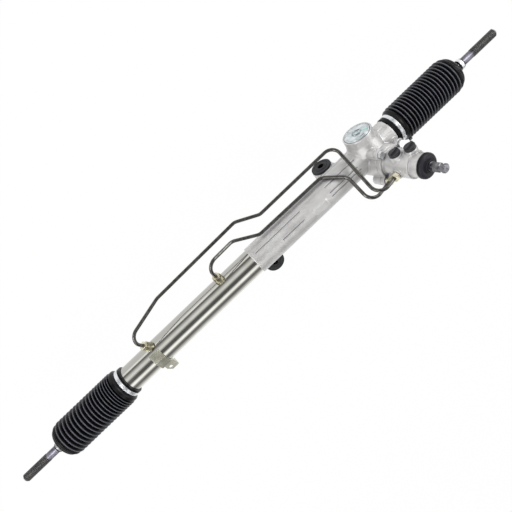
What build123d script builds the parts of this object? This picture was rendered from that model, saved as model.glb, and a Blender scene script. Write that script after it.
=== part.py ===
from build123d import *
import math
import os

# Hydraulic rack-and-pinion steering gear, in millimetres.
# Working frame: X runs along the rack, +X to the cylinder end and -X to the pinion end,
# +Z is up, and the rack guide points to -Y. write() moves each solid so that the origin
# is the centre of the bolt hole in the pinion-side bush.

# ---- body and rack ----
body_half = 345.0          # centre to either end of the housing and of the tube
rack_travel = 72.0         # either way from the centre
stop_gap = 1.0             # left between ball housing and body at full travel
rack_d = 25.0
tube_od = 50.0
tube_wall = 3.0
joint_x = 14.5             # open face of the casting, where the tube enters
tube_seat = 34.0           # length of tube inside the casting
sleeve_wall = 2.5          # cast sleeve round the tube
rack_clearance = 1.5       # rack tunnel round the bar
boot_seat_length = 22.0
run_gap = 0.3              # between parts that move past each other
fit_gap = 0.05             # bearing and running fits
seat_gap = 0.1             # between parts that are pushed or screwed together

# ---- gear ----
tooth_module = 1.8
pinion_teeth = 8
pressure_angle = 20.0
profile_shift = 0.54       # share of the module
pinion_addendum = 2.2      # tooth tip above the pitch circle
pinion_half_face = 17.0
tooth_backlash = 0.16
tip_clearance = 0.45
pinion_x = -272.0          # where the tower crosses the rack
tower_lean = 12.0          # degrees, outboard
rack_tip_y = 10.2          # flat of the toothed side

# ---- tower ----
pinion_boss_r = 30.0
boss_bottom_t = -38.0      # heights t are measured up the tower from the rack's axis
flange_t = 40.0
flange_thickness = 9.0
flange_ear_radius = 34.0   # bolt circle of the tower's flange
flange_ear_r = 9.5
flange_ear_angles = (-65.0, 35.0, -160.0)
flange_bolt_d = 8.0
flange_bolt_depth = 16.0
flange_bolt_flats = 12.0
flange_bolt_head = 4.6
valve_body_r = 24.5
valve_neck_r = 21.0
valve_shoulder_wall = 6.0     # above the valve sleeve's bore
valve_neck_length = 20.0
pinion_seal_t = 33.5
pinion_seal_width = 6.0
pinion_seal_r = 17.0
pinion_head_r = 12.0
pinion_collar = 4.0
lower_bearing_t = -31.0
needle_bearing_width = 12.0
needle_bearing_r = 10.0
lower_journal_r = 6.0
upper_bearing_t = 20.0
ball_bearing_width = 12.0
ball_bearing_r = 20.0
upper_journal_r = 10.0
ball_bearing_ball_r = 3.4
ball_count = 9
race_share = 0.55
lower_cap_flats = 17.0
lower_cap_head = 5.0
valve_start_t = 50.0
valve_bore_r = 19.35
spool_r = 11.3
spool_slots = 8
spool_slot_width = 3.0
spool_slot_depth = 1.2
spool_slot_length = 30.0
seal_ring_margin = 5.0
seal_ring_pitch = 12.0
seal_ring_width = 2.0
seal_ring_depth = 1.8
oil_groove_width = 4.5
oil_groove_depth = 2.0
oil_hole_r = 1.4
torsion_start_t = 36.0
torsion_end_wall = 10.0
torsion_recess = 2.0
torsion_pin_rise = 6.0        # above the start of the splines
torsion_pin_r = 1.5
input_journal_r = 9.0
input_neck_rise = 3.0         # above the dust cover
input_neck_length = 4.0
input_neck_r = 7.0
spline_length = 22.0
spline_groove_rise = 14.0
spline_groove_half = 2.6
spline_groove_depth = 1.3
input_bearing_width = 9.0
input_bearing_r = 13.0
input_seal_width = 6.0
snap_ring_set_back = 3.0
snap_ring_width = 1.6
snap_ring_r_span = 9.0
cover_seat_r = 19.0
cover_overlap = 4.0           # down over the valve housing's seat
cover_skirt_height = 4.5
cover_roll_height = 5.0       # rolled shoulder between the skirt and the neck
cover_roll_r = 16.0
cover_neck_height = 3.5
cover_r = 22.0
cover_wall = 2.0
dome_steps = 5
cover_lip_r = 11.0
flank_steps = 4
sleeve_valve_r = 19.0
sleeve_valve_length = 46.0
input_shaft_r = 8.0
torsion_bar_r = 2.6

# ---- rack guide ----
yoke_barrel_r = 28.0
yoke_face_h = 47.0         # heights h are measured from the rack's axis towards -Y
skirt_flare = 7.0
skirt_start = 12.0
skirt_height = 20.0
yoke_r = 21.0
yoke_start = 5.0
yoke_back = 34.0
liner_t = 1.2
spring_pocket = 10.0
spring_r = 9.0
spring_wire_r = 1.5
spring_turns = 3.5
yoke_plug_start = 36.5
yoke_plug_r = 24.3
plug_proud = 0.8
plug_dish_r = 21.5
plug_dish_width = 1.6
plug_hex_flats = 17.0
plug_hex_depth = 7.0

# ---- mounting bushes ----
pinion_bush_x = -198.0
pinion_bush_drop = 45.0    # below the rack's axis, bolt along Y
centre_bush_x = -13.0
centre_bush_y = 45.0       # behind the rack's axis, bolt along Z
centre_bush_z = -34.0
bush_length = 40.0
bush_flange_r = 19.8
bush_flange_t = 4.0
bush_body_r = 16.0
bush_sleeve_r = 9.0
bush_bolt_r = 6.1
eye_wall = 4.5
web_half = 12.0
web_flare = 7.0
bush_sleeve_proud = 0.5

# ---- boots and tie rods ----
boot_fold_depth = 6.4
boot_cuff_wall = 3.0
boot_cuff_step = 1.0
boot_shoulder = 4.0
boot_shoulder_length = 4.0
boot_last_fold_drop = 2.5
boot_dome_drops = (7.0, 14.0)     # how far the closed end has come in from the crests
boot_dome_backs = (6.0, 1.0)      # how far before the closed end's face
boot_wall = 2.0
boot_folds = 19
boot_lap = 21.0                   # of the cuff over the body
boot_cuff_length = 12.0           # beyond the body, up to the first fold
boot_bellows_length = 123.0
boot_dome_length = 14.0
boot_neck_length = 14.0
boot_neck_r = 9.7
clamp_set_back = 10.5
clamp_width = 7.0
clamp_thickness = 1.0
clamp_ear_height = 5.0
clamp_ear_width = 7.0
clamp_ear_turn = 200.0
clip_set_back = 5.0               # from the boot's closed end
clip_width = 6.0
clip_thickness = 1.0
clip_tang = 5.0
nipple_r = 4.0
nipple_reach = 11.0
nipple_out = (0, 0.8, 0.6)
stud_r = 8.0
stud_length = 20.0
ball_r = 12.0
ball_housing_flats = 32.0
flat_length = 12.0
swing_margin = 5.0
tie_groove_length = 6.0
tie_groove_depth = 0.8
tie_tip_chamfer = 1.5
washer_tab = 9.0
ball_housing_r = 18.5
ball_housing_length = 38.0
ball_seat_wall = 3.0
ball_set_back = 22.0       # ball centre from the ball housing's inner face
washer_thickness = 2.0
shank_r = 7.6
tie_thread_r = 8.0
tie_thread_length = 59.0
tie_stub = 81.0             # beyond the boot's neck
swing_range = 20.0         # degrees, either way, of each tie rod

# ---- hydraulics ----
outer_port_set_back = 90.0 # from the tube's outer end
port_x_inner = 82.0
port_lift = 12.0           # degrees above -Y at which the tube's ports stand
outer_port_lean = 15.0     # degrees towards the cylinder end
pipe_r = 3.175
port_boss_r = 8.4
port_boss_height = 10.5
weld_width = 1.6
port_depth = 6.0
port_bore_r = 4.0
flare_nut_flats = 14.0
tube_nut_length = 5.5
valve_nut_length = 9.0
pipe_bend_r = 18.0
line_rise = 47.0           # straight run of each line out of its tube port
outer_line_reach = 78.0    # corner of each line in front of its valve port
inner_line_reach = 85.0
lower_port_place = (74.0, 7.0)     # height up the tower and offset to one side
upper_port_place = (95.0, -9.0)
outer_line_place = (80.0, 0.0)
inner_line_place = (62.0, 12.6)
valve_port_radii = (11.5, 11.0, 9.5, 8.0)
port_face = 27.5           # from the tower's axis to the face of each port
port_thread_r = 6.0
plug_knob_r = 10.0
plug_knob_height = 6.0
plug_grip_width = 4.0
plug_grip_height = 3.0
plug_stem = 7.0
bracket_offset = 1.0       # from the outer port towards the cylinder end
bracket_width = 21.0
bracket_t = 2.5
bracket_face_turns = (118.0, 78.0, 38.0)   # degrees from +Y where each face meets the tube
bracket_first_face = 8.0
bracket_hole_side = 3.0    # towards the cylinder end
bracket_overlap = 2.5
bracket_tail_length = 18.0
bracket_tail_z = 12.9
bracket_corner = 9.0
bracket_corner_share = 0.7
bracket_lip = 9.0
bracket_hole_back = 10.7   # from the start of the tail
bracket_hole_r = 3.4
piston_width = 16.0
piston_step = 2.0
piston_ring_width = 4.0
piston_ring_depth = 3.0
end_stop_length = 50.0
end_stop_set_back = 3.0
end_seal_set_back = 12.0
rod_seal_x = 34.0
rod_seal_width = 7.0
rod_seal_r = 18.0
seal_carrier_width = 24.0

# ---- cast recesses and pad: start, end, angle above -Y ----
groove_width = 2.4
groove_depth = 1.5
groove_places = ((5.0, -104.0, 38.0), (-47.0, -101.0, 74.0), (-164.0, -236.0, 38.0),
                 (-164.0, -232.0, 68.0), (-164.0, -236.0, 84.0), (-302.0, -318.0, 27.0, 9.0),
                 (-300.0, -319.0, 57.0), (-20.0, -104.0, -20.0), (-164.0, -236.0, -10.0),
                 (-30.0, -104.0, 150.0), (-110.0, -236.0, 150.0), (-20.0, -170.0, -60.0))
pad_x = -137.0
pad_length = 31.0
pad_width = 16.0

# ---- worked out from the above ----
rack_r = rack_d / 2
tube_r = tube_od / 2
sleeve_r = tube_r + sleeve_wall
boot_seat_r = tube_r
boot_cuff_r = boot_seat_r + boot_cuff_wall
boot_core_r = boot_cuff_r + boot_cuff_step
boot_r = boot_core_r + boot_fold_depth
boot_lip_x = body_half - boot_lap
boot_fold_start = body_half + boot_cuff_length
boot_fold_end = boot_fold_start + boot_bellows_length
boot_end_x = boot_fold_end + boot_dome_length
boot_neck_x = boot_end_x + boot_neck_length
boot_grip_x = boot_neck_x - boot_neck_length / 2
clamp_x = body_half - clamp_set_back
clip_x = boot_end_x + clip_set_back
nipple_x = body_half
tie_tip_x = boot_neck_x + tie_stub
port_x_outer = body_half - outer_port_set_back
bracket_x = port_x_outer + bracket_offset
bracket_tail_y = (tube_r - bracket_overlap, tube_r - bracket_overlap + bracket_tail_length)
bracket_hole_y = bracket_tail_y[0] + bracket_hole_back
valve_shoulder_t = valve_start_t + sleeve_valve_length + valve_shoulder_wall
valve_top_t = valve_shoulder_t + valve_neck_length
cover_skirt_t = valve_top_t - cover_overlap
cover_dome_t = cover_skirt_t + cover_skirt_height
cover_roll_t = cover_dome_t + cover_roll_height
cover_top_t = cover_roll_t + cover_neck_height
input_neck_t = cover_top_t + input_neck_rise
spline_start_t = input_neck_t + input_neck_length
spline_groove_t = spline_start_t + spline_groove_rise
torsion_pin_t = spline_start_t + torsion_pin_rise
input_tip_t = spline_start_t + spline_length
bore_r = tube_r - tube_wall
tunnel_r = rack_r + rack_clearance
pitch_r = tooth_module * pinion_teeth / 2
shift = profile_shift * tooth_module
rack_addendum = tooth_module - shift
pitch_y = rack_tip_y - rack_addendum
pinion_y = pitch_y + pitch_r
lean = math.radians(tower_lean)
rack_pitch = math.pi * tooth_module / math.cos(lean)
bar_half = body_half + rack_travel + stop_gap
ball_x = bar_half + washer_thickness + ball_set_back
tower = Plane(origin=(pinion_x, pinion_y, 0),
              x_dir=(math.cos(lean), 0, math.sin(lean)),
              z_dir=(-math.sin(lean), 0, math.cos(lean)))
yoke_plane = Plane(origin=(pinion_x, 0, 0), x_dir=(1, 0, 0), z_dir=(0, -1, 0))
rack_root_y = pitch_y - pinion_addendum - tip_clearance
root_r = pitch_r - rack_addendum - tip_clearance
piston_x = (port_x_outer + port_x_inner) / 2
pinion_eye = Plane(origin=(pinion_bush_x, 0, -pinion_bush_drop), x_dir=(1, 0, 0),
                   z_dir=(0, -1, 0))
centre_eye = Plane(origin=(centre_bush_x, centre_bush_y, centre_bush_z), x_dir=(-1, 0, 0),
                   z_dir=(0, 0, 1))
port_out = (0, -math.cos(math.radians(port_lift)), math.sin(math.radians(port_lift)))


def rod(start, end, radius, y=0.0, z=0.0):
    """A round bar along X from start to end."""
    low, high = min(start, end), max(start, end)
    plane = Plane(origin=(low, y, z), x_dir=(0, 1, 0), z_dir=(1, 0, 0))
    return plane * Cylinder(radius, high - low, align=(Align.CENTER, Align.CENTER, Align.MIN))


def ring(start, end, outer, inner):
    """A round tube along X."""
    return rod(start, end, outer) - rod(start, end, inner)


def post(plane, start, end, radius):
    """A round bar along a plane's normal, between two heights."""
    bar = Cylinder(radius, end - start, align=(Align.CENTER, Align.CENTER, Align.MIN))
    return plane * Pos(0, 0, start) * bar


def hollow(plane, start, end, outer, inner):
    return post(plane, start, end, outer) - post(plane, start, end, inner)


def spun(points, plane):
    """A closed profile of (radius, height) points turned about the plane's normal."""
    outline = Polyline(*[(r, 0, h) for r, h in points], close=True)
    return plane * revolve(make_face(outline), Axis.Z)


x_plane = Plane(origin=(0, 0, 0), x_dir=(0, 1, 0), z_dir=(1, 0, 0))
mirror_plane = Plane(origin=(0, 0, 0), x_dir=(0, -1, 0), z_dir=(-1, 0, 0))


def hexagon(plane, start, end, flats, hole):
    profile = RegularPolygon(flats / 2, 6, major_radius=False)
    prism = plane * Pos(0, 0, start) * extrude(profile, end - start)
    return prism - post(plane, start, end, hole)


def side_port(height, offset, facing, radius):
    """A port on the tower: facing -Y, or inboard along the rack; and its boss radius."""
    if facing == "front":
        local = Plane(origin=(offset, 0, height), x_dir=(1, 0, 0), z_dir=(0, -1, 0))
    else:
        local = Plane(origin=(0, offset, height), x_dir=(0, 1, 0), z_dir=(1, 0, 0))
    return Plane(tower.location * local.location), radius


valve_ports = (side_port(*lower_port_place, "front", valve_port_radii[0]),
               side_port(*upper_port_place, "front", valve_port_radii[1]),
               side_port(*outer_line_place, "inboard", valve_port_radii[2]),
               side_port(*inner_line_place, "inboard", valve_port_radii[3]))


def line_end(port, distance):
    """A point on a valve port's axis, that far from the tower's axis."""
    plane = valve_ports[port][0]
    return tuple(plane.from_local_coords(Vector(0, 0, distance)))


def tube_port(x, tilt):
    """Plane of a tube port: its normal leaves the tube's skin, tilt degrees towards +X."""
    skin = Vector(x, tube_r * port_out[1], tube_r * port_out[2])
    turn = math.radians(tilt)
    out = Vector(math.sin(turn), port_out[1] * math.cos(turn), port_out[2] * math.cos(turn))
    return Plane(origin=skin, x_dir=(math.cos(turn), -port_out[1] * math.sin(turn),
                                     -port_out[2] * math.sin(turn)), z_dir=out)


outer_port = tube_port(port_x_outer, outer_port_lean)
inner_port = tube_port(port_x_inner, 0.0)


def tube_end(port, distance):
    return tuple(port.from_local_coords(Vector(0, 0, distance)))


outer_line_points = [tube_end(outer_port, port_boss_height + stop_gap), tube_end(outer_port, line_rise),
                     (186.0, -69.6, -24.4), (-7.4, -72.1, -26.1),
                     (-50.0, -54.7, -13.9), (-229.0, -54.7, -13.9), line_end(2, outer_line_reach),
                     line_end(2, port_face + stop_gap)]
inner_line_points = [tube_end(inner_port, port_boss_height + stop_gap), tube_end(inner_port, line_rise),
                     (19.0, -57.0, -9.3), (-25.0, -35.0, 2.5), (-173.0, -33.8, 4.0),
                     (-204.5, -15.8, 32.9), line_end(3, inner_line_reach), line_end(3, port_face + stop_gap)]


def write(name, shape):
    """Moves a finished solid to the part's origin and writes it."""
    placed = Pos(-pinion_bush_x, 0, pinion_bush_drop) * shape
    solids = placed.solids()
    result = solids[0] if len(solids) == 1 else Compound(children=list(solids))
    result.label = name
    export_step(result, f"parts/{name}.step")


# ---- rack body ----
def tooth_gap(index):
    """One slanted gap of the rack, parallel to the pinion's axis."""
    middle_y = pitch_y - shift - pinion_y
    root = rack_root_y - pinion_y
    top = rack_r + stop_gap - pinion_y
    slope = math.tan(math.radians(pressure_angle))
    half_mid = math.pi * tooth_module / 4 + tooth_backlash / 2
    half_root = half_mid + (root - middle_y) * slope
    half_top = half_mid + (top - middle_y) * slope
    outline = Polyline((-half_root, root), (half_root, root), (half_top, top), (-half_top, top),
                       close=True)
    cutter = tower * extrude(make_face(outline), amount=rack_d, both=True)
    return Pos(index * rack_pitch, 0, 0) * cutter


def make_rack_bar():
    bar = rod(-bar_half, bar_half, rack_r)
    pinion_span = (pitch_r + pinion_addendum) / math.cos(lean)
    reach = rack_travel + pinion_half_face * math.tan(lean) + pinion_span + stop_gap
    flat_depth = rack_r - rack_tip_y
    flat = Pos(pinion_x, rack_tip_y + flat_depth, 0) * Box(2 * reach, 2 * flat_depth, rack_d)
    bar -= flat
    count = int(reach / rack_pitch)
    bar -= [tooth_gap(index) for index in range(-count, count + 1)]
    for end in (-1, 1):
        bar -= rod(end * (bar_half - stud_length - seat_gap), end * bar_half, stud_r + seat_gap)
    ring_groove = ring(piston_x - piston_width / 2, piston_x + piston_width / 2,
                       rack_r + stop_gap, rack_r - piston_step)
    return bar - ring_groove


def make_piston():
    half = piston_width / 2 - seat_gap
    outer = bore_r - run_gap
    inner = rack_r - piston_step + seat_gap
    piston = ring(piston_x - half, piston_x + half, outer, inner)
    groove_half = piston_ring_width / 2 + seat_gap
    return piston - ring(piston_x - groove_half, piston_x + groove_half, outer + stop_gap,
                         outer - piston_ring_depth)


def make_piston_ring():
    half = piston_ring_width / 2
    inner = bore_r - run_gap - piston_ring_depth + seat_gap
    return ring(piston_x - half, piston_x + half, bore_r - fit_gap, inner)


def make_washer(end):
    """Claw washer: two of its edges are bent over the flats of the ball housing."""
    start = end * bar_half
    disc = ring(start, start + end * washer_thickness, ball_housing_r - stop_gap, stud_r + seat_gap)
    tab = Box(washer_tab, washer_thickness, washer_tab)
    along = start + end * (washer_tab / 2)
    offset = ball_housing_flats / 2 + seat_gap + washer_thickness / 2
    keep = rod(start, start + end * washer_tab, ball_housing_r + stop_gap)
    tabs = [keep & (Pos(along, side * offset, 0) * tab) for side in (-1, 1)]
    joined = disc + tabs[0] + tabs[1]
    return joined


def make_ball_housing(end):
    plane = x_plane if end > 0 else mirror_plane
    start = bar_half + washer_thickness
    stop = start + ball_housing_length
    lip = start + ball_set_back
    body = post(plane, start, stop, ball_housing_r)
    body = chamfer(body.edges().filter_by(GeomType.CIRCLE), washer_thickness)
    for side in (-1, 1):
        offset = side * (ball_housing_flats / 2 + washer_thickness)
        cut = Box(flat_length, 2 * washer_thickness, 2 * ball_housing_r)
        body -= Pos(end * (start + flat_length / 2), offset, 0) * cut
    body += post(plane, bar_half - stud_length, start, stud_r)
    socket_r = ball_r + fit_gap + ball_seat_wall
    body -= plane * Pos(0, 0, lip) * Sphere(socket_r + seat_gap)
    mouth = math.tan(math.radians(swing_range + swing_margin))
    reach = stop - lip + stop_gap
    cone = Cone(shank_r + run_gap, shank_r + run_gap + reach * mouth, reach,
                align=(Align.CENTER, Align.CENTER, Align.MIN))
    body -= plane * Pos(0, 0, lip) * cone
    return body


def make_ball_seat(end):
    """Plastic shell between the ball and its housing, open towards the tie rod."""
    plane = x_plane if end > 0 else mirror_plane
    socket_r = ball_r + fit_gap + ball_seat_wall
    shell = plane * Pos(0, 0, ball_x) * (Sphere(socket_r) - Sphere(ball_r + fit_gap))
    mouth = math.tan(math.radians(swing_range + swing_margin))
    reach = socket_r + stop_gap
    wide = shank_r + run_gap + reach * mouth
    cone = Cone(shank_r + run_gap, wide, reach, align=(Align.CENTER, Align.CENTER, Align.MIN))
    return shell - plane * Pos(0, 0, ball_x) * cone


def make_tie_rod(end):
    """Ball, shank with a boot groove, two spanner flats and the threaded end."""
    plane = x_plane if end > 0 else mirror_plane
    thread_start = tie_tip_x - tie_thread_length
    groove = tie_groove_length / 2
    rod_body = post(plane, ball_x, thread_start, shank_r)
    rod_body += plane * Pos(0, 0, ball_x) * Sphere(ball_r)
    rod_body -= hollow(plane, boot_grip_x - groove, boot_grip_x + groove, shank_r + stop_gap,
                       shank_r - tie_groove_depth)
    thread = post(plane, thread_start, tie_tip_x, tie_thread_r)
    thread = chamfer(thread.edges().sort_by(SortBy.DISTANCE)[-1:], tie_tip_chamfer)
    return rod_body + thread


# ---- pinion, valve and input shaft ----
def involute_points():
    """(radius, half angle) pairs up one flank of a pinion tooth, in radians."""
    alpha = math.radians(pressure_angle)
    base_r = pitch_r * math.cos(alpha)
    half_pitch_angle = (math.pi * tooth_module / 2 + 2 * shift * math.tan(alpha)) / 2 / pitch_r
    base_half = half_pitch_angle + math.tan(alpha) - alpha
    tip_r = pitch_r + pinion_addendum
    flank = [(root_r, base_half)]
    for step in range(flank_steps + 1):
        radius = base_r + (tip_r - base_r) * step / flank_steps
        turn = math.acos(min(1.0, base_r / radius))
        flank.append((radius, base_half - math.tan(turn) + turn))
    return flank


def make_pinion_shaft():
    flank = involute_points()
    points = []
    for tooth in range(pinion_teeth):
        middle = 2 * math.pi * tooth / pinion_teeth - math.pi / 2
        for radius, half in flank:
            points.append((radius * math.cos(middle - half), radius * math.sin(middle - half)))
        for radius, half in reversed(flank):
            points.append((radius * math.cos(middle + half), radius * math.sin(middle + half)))
    gear = extrude(make_face(Polyline(*points, close=True)), 2 * pinion_half_face)
    shaft = tower * Pos(0, 0, -pinion_half_face) * gear
    shaft += post(tower, lower_bearing_t, -pinion_half_face, lower_journal_r)
    shaft += post(tower, pinion_half_face, upper_bearing_t + ball_bearing_width, upper_journal_r)
    seat_end = upper_bearing_t + ball_bearing_width
    shaft += post(tower, seat_end, valve_start_t, pinion_head_r)
    shaft += post(tower, valve_start_t - pinion_collar, valve_start_t, sleeve_valve_r - run_gap)
    return shaft - post(tower, seat_end, valve_start_t, torsion_bar_r + fit_gap)


def make_valve_sleeve():
    """Rotary valve sleeve with four seal grooves and three oil grooves between them."""
    end_t = valve_start_t + sleeve_valve_length
    sleeve = hollow(tower, valve_start_t + seat_gap, end_t, sleeve_valve_r, spool_r + fit_gap)
    for middle in seal_ring_stations():
        half = seal_ring_width / 2 + fit_gap
        sleeve -= hollow(tower, middle - half, middle + half, sleeve_valve_r + stop_gap,
                         sleeve_valve_r - seal_ring_depth)
    for middle in oil_groove_stations():
        half = oil_groove_width / 2
        sleeve -= hollow(tower, middle - half, middle + half, sleeve_valve_r + stop_gap,
                         sleeve_valve_r - oil_groove_depth)
        for turn in range(0, 360, 90):
            drill = Rot(0, 0, turn) * Pos(sleeve_valve_r / 2, 0, 0) * Rot(0, 90, 0)
            hole = drill * Cylinder(oil_hole_r, sleeve_valve_r)
            sleeve -= tower * Pos(0, 0, middle) * hole
    return sleeve


def oil_groove_stations():
    return [seal_ring_stations()[index] + seal_ring_pitch / 2 for index in range(3)]


def seal_ring_stations():
    first = valve_start_t + seal_ring_margin
    return [first + index * seal_ring_pitch for index in range(4)]


def make_seal_rings():
    half = seal_ring_width / 2
    rings = Part()
    for middle in seal_ring_stations():
        inner = sleeve_valve_r - seal_ring_depth + fit_gap
        rings += hollow(tower, middle - half, middle + half, valve_bore_r - fit_gap, inner)
    return rings


def make_torsion_bar():
    top = input_tip_t - torsion_end_wall - run_gap
    bar = post(tower, torsion_start_t, top, torsion_bar_r)
    pin = Cylinder(torsion_pin_r + run_gap, 4 * torsion_bar_r)
    bar -= tower * Pos(0, 0, torsion_pin_t) * Rot(90, 0, 0) * pin
    return bar


def make_input_shaft():
    """Spool, journal and the splined end that the steering joint clamps."""
    spool_end = valve_start_t + sleeve_valve_length
    shaft = post(tower, valve_start_t + stop_gap, spool_end, spool_r)
    for turn in range(spool_slots):
        slot = Pos(spool_r, 0, 0) * Box(spool_slot_depth * 2, spool_slot_width, spool_slot_length)
        middle = (valve_start_t + spool_end) / 2
        shaft -= tower * Pos(0, 0, middle) * Rot(0, 0, 360 * turn / spool_slots) * slot
    shaft += post(tower, spool_end, input_neck_t, input_journal_r)
    shaft += post(tower, input_neck_t, spline_start_t, input_neck_r)
    spline = post(tower, spline_start_t, input_tip_t, input_shaft_r)
    spline -= hollow(tower, spline_groove_t - spline_groove_half,
                     spline_groove_t + spline_groove_half, input_shaft_r + stop_gap,
                     input_shaft_r - spline_groove_depth)
    shaft += spline
    shaft -= post(tower, valve_start_t, input_tip_t - torsion_end_wall, torsion_bar_r + stop_gap)
    shaft -= post(tower, input_tip_t - torsion_recess, input_tip_t + stop_gap, torsion_bar_r)
    pin = Cylinder(torsion_pin_r + seat_gap, 2 * input_shaft_r)
    return shaft - tower * Pos(0, 0, torsion_pin_t) * Rot(90, 0, 0) * pin


def make_torsion_pin():
    pin = Cylinder(torsion_pin_r, 2 * input_shaft_r - stop_gap)
    return tower * Pos(0, 0, torsion_pin_t) * Rot(90, 0, 0) * pin


# ---- bearings, seals and rings of the tower ----
def make_ball_bearing():
    """Deep-groove bearing: two grooved rings and their balls."""
    low = upper_bearing_t
    high = upper_bearing_t + ball_bearing_width
    middle_r = (ball_bearing_r + upper_journal_r) / 2
    race = ball_bearing_ball_r + fit_gap
    rings = hollow(tower, low, high, ball_bearing_r, middle_r + race * race_share)
    rings += hollow(tower, low, high, middle_r - race * race_share, upper_journal_r + fit_gap)
    groove = tower * Pos(0, 0, (low + high) / 2) * Torus(middle_r, race)
    rings -= groove
    for index in range(ball_count):
        place = Rot(0, 0, 360 * index / ball_count) * Pos(middle_r, 0, (low + high) / 2)
        rings += tower * place * Sphere(ball_bearing_ball_r)
    return rings


def make_lower_bearing():
    return hollow(tower, lower_bearing_t, lower_bearing_t + needle_bearing_width,
                  needle_bearing_r, lower_journal_r + fit_gap)


def make_lower_cap():
    """Screwed cap that closes the bottom of the pinion bore."""
    low = boss_bottom_t - lower_cap_head
    cap = post(tower, boss_bottom_t, lower_bearing_t - stop_gap, needle_bearing_r + stop_gap)
    return cap + hexagon(tower, low, boss_bottom_t, lower_cap_flats, 0.5)


def make_pinion_seal():
    return hollow(tower, pinion_seal_t, pinion_seal_t + pinion_seal_width, pinion_seal_r,
                  pinion_head_r + fit_gap)


def make_input_bearing():
    low = valve_shoulder_t - stop_gap
    return hollow(tower, low, low + input_bearing_width, input_bearing_r,
                  input_journal_r + fit_gap)


def make_input_seal():
    low = valve_shoulder_t + input_bearing_width
    return hollow(tower, low, low + input_seal_width, input_bearing_r,
                  input_journal_r + fit_gap)


def make_snap_ring():
    low = valve_top_t - snap_ring_set_back
    full = hollow(tower, low, low + stop_gap, input_bearing_r + stop_gap,
                  input_bearing_r - snap_ring_width)
    gap = Pos(input_bearing_r, 0, low) * Box(snap_ring_r_span, snap_ring_width, snap_ring_r_span)
    return full - tower * gap


def dome(radius, lip, low, high):
    """Quarter-round (radius, height) points from a skirt up to a lip."""
    turns = [math.radians(90 * step / dome_steps) for step in range(dome_steps + 1)]
    return [(lip + (radius - lip) * math.cos(turn), low + (high - low) * math.sin(turn))
            for turn in turns]


def make_dust_cover():
    """Rubber cap over the top of the valve housing: a skirt, a rolled shoulder and a neck."""
    seat = cover_seat_r + seat_gap
    bore = input_journal_r + run_gap
    inner_r = cover_r - cover_wall
    ceiling = cover_roll_t - cover_wall
    outside = [(seat, cover_skirt_t), (cover_r - stop_gap, cover_skirt_t),
               (cover_r, cover_skirt_t + stop_gap)]
    outside += dome(cover_r, cover_roll_r, cover_dome_t, cover_roll_t)
    neck = [(cover_lip_r, ceiling + cover_wall / 2), (cover_lip_r, cover_top_t),
            (bore, cover_top_t), (bore, ceiling)]
    inside = dome(inner_r, cover_roll_r, cover_dome_t, ceiling)
    floor = [(inner_r, valve_top_t + seat_gap), (seat, valve_top_t + seat_gap)]
    return spun(outside + neck + inside[::-1] + floor, tower)


# ---- castings ----
def flange(low, high):
    """Three-eared joint plate of the tower."""
    plate = post(tower, low, high, pinion_boss_r)
    for angle in flange_ear_angles:
        web = Pos(flange_ear_radius / 2, 0, (low + high) / 2)
        arm = web * Box(flange_ear_radius, 2 * flange_ear_r, high - low)
        ear = Pos(flange_ear_radius, 0, low) * Cylinder(
            flange_ear_r, high - low, align=(Align.CENTER, Align.CENTER, Align.MIN))
        plate += tower * Rot(0, 0, angle) * (arm + ear)
    return plate


def flange_holes(low, high, radius):
    hole = Pos(flange_ear_radius, 0, low) * Cylinder(
        radius, high - low, align=(Align.CENTER, Align.CENTER, Align.MIN))
    return [tower * Rot(0, 0, angle) * hole for angle in flange_ear_angles]


def sleeve_groove(x_start, x_end, angle, width=groove_width):
    """A shallow cast recess along the sleeve, at an angle above -Y."""
    length = abs(x_end - x_start)
    cutter = Box(length, 2 * groove_depth, width)
    cutter = fillet(cutter.edges().filter_by(Axis.Y), width * 0.45)
    return Rot(-angle, 0, 0) * Pos((x_start + x_end) / 2, -sleeve_r, 0) * cutter


def bush_eye(plane):
    """Eye casting round a bush, joined to the sleeve by a web that widens towards it."""
    eye_r = bush_body_r + eye_wall
    half = bush_length / 2 - bush_flange_t
    eye = post(plane, -half, half, eye_r)
    away = Vector(0, plane.origin.Y, plane.origin.Z)
    across = (0, -away.Z, away.Y)
    web_plane = Plane(origin=(plane.origin.X, 0, 0), x_dir=(1, 0, 0), z_dir=across)
    web = Polyline((-eye_r, away.length), (eye_r, away.length), (eye_r + web_flare, 0),
                   (-eye_r - web_flare, 0), close=True)
    return eye + web_plane * extrude(make_face(web), web_half, both=True)


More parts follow.
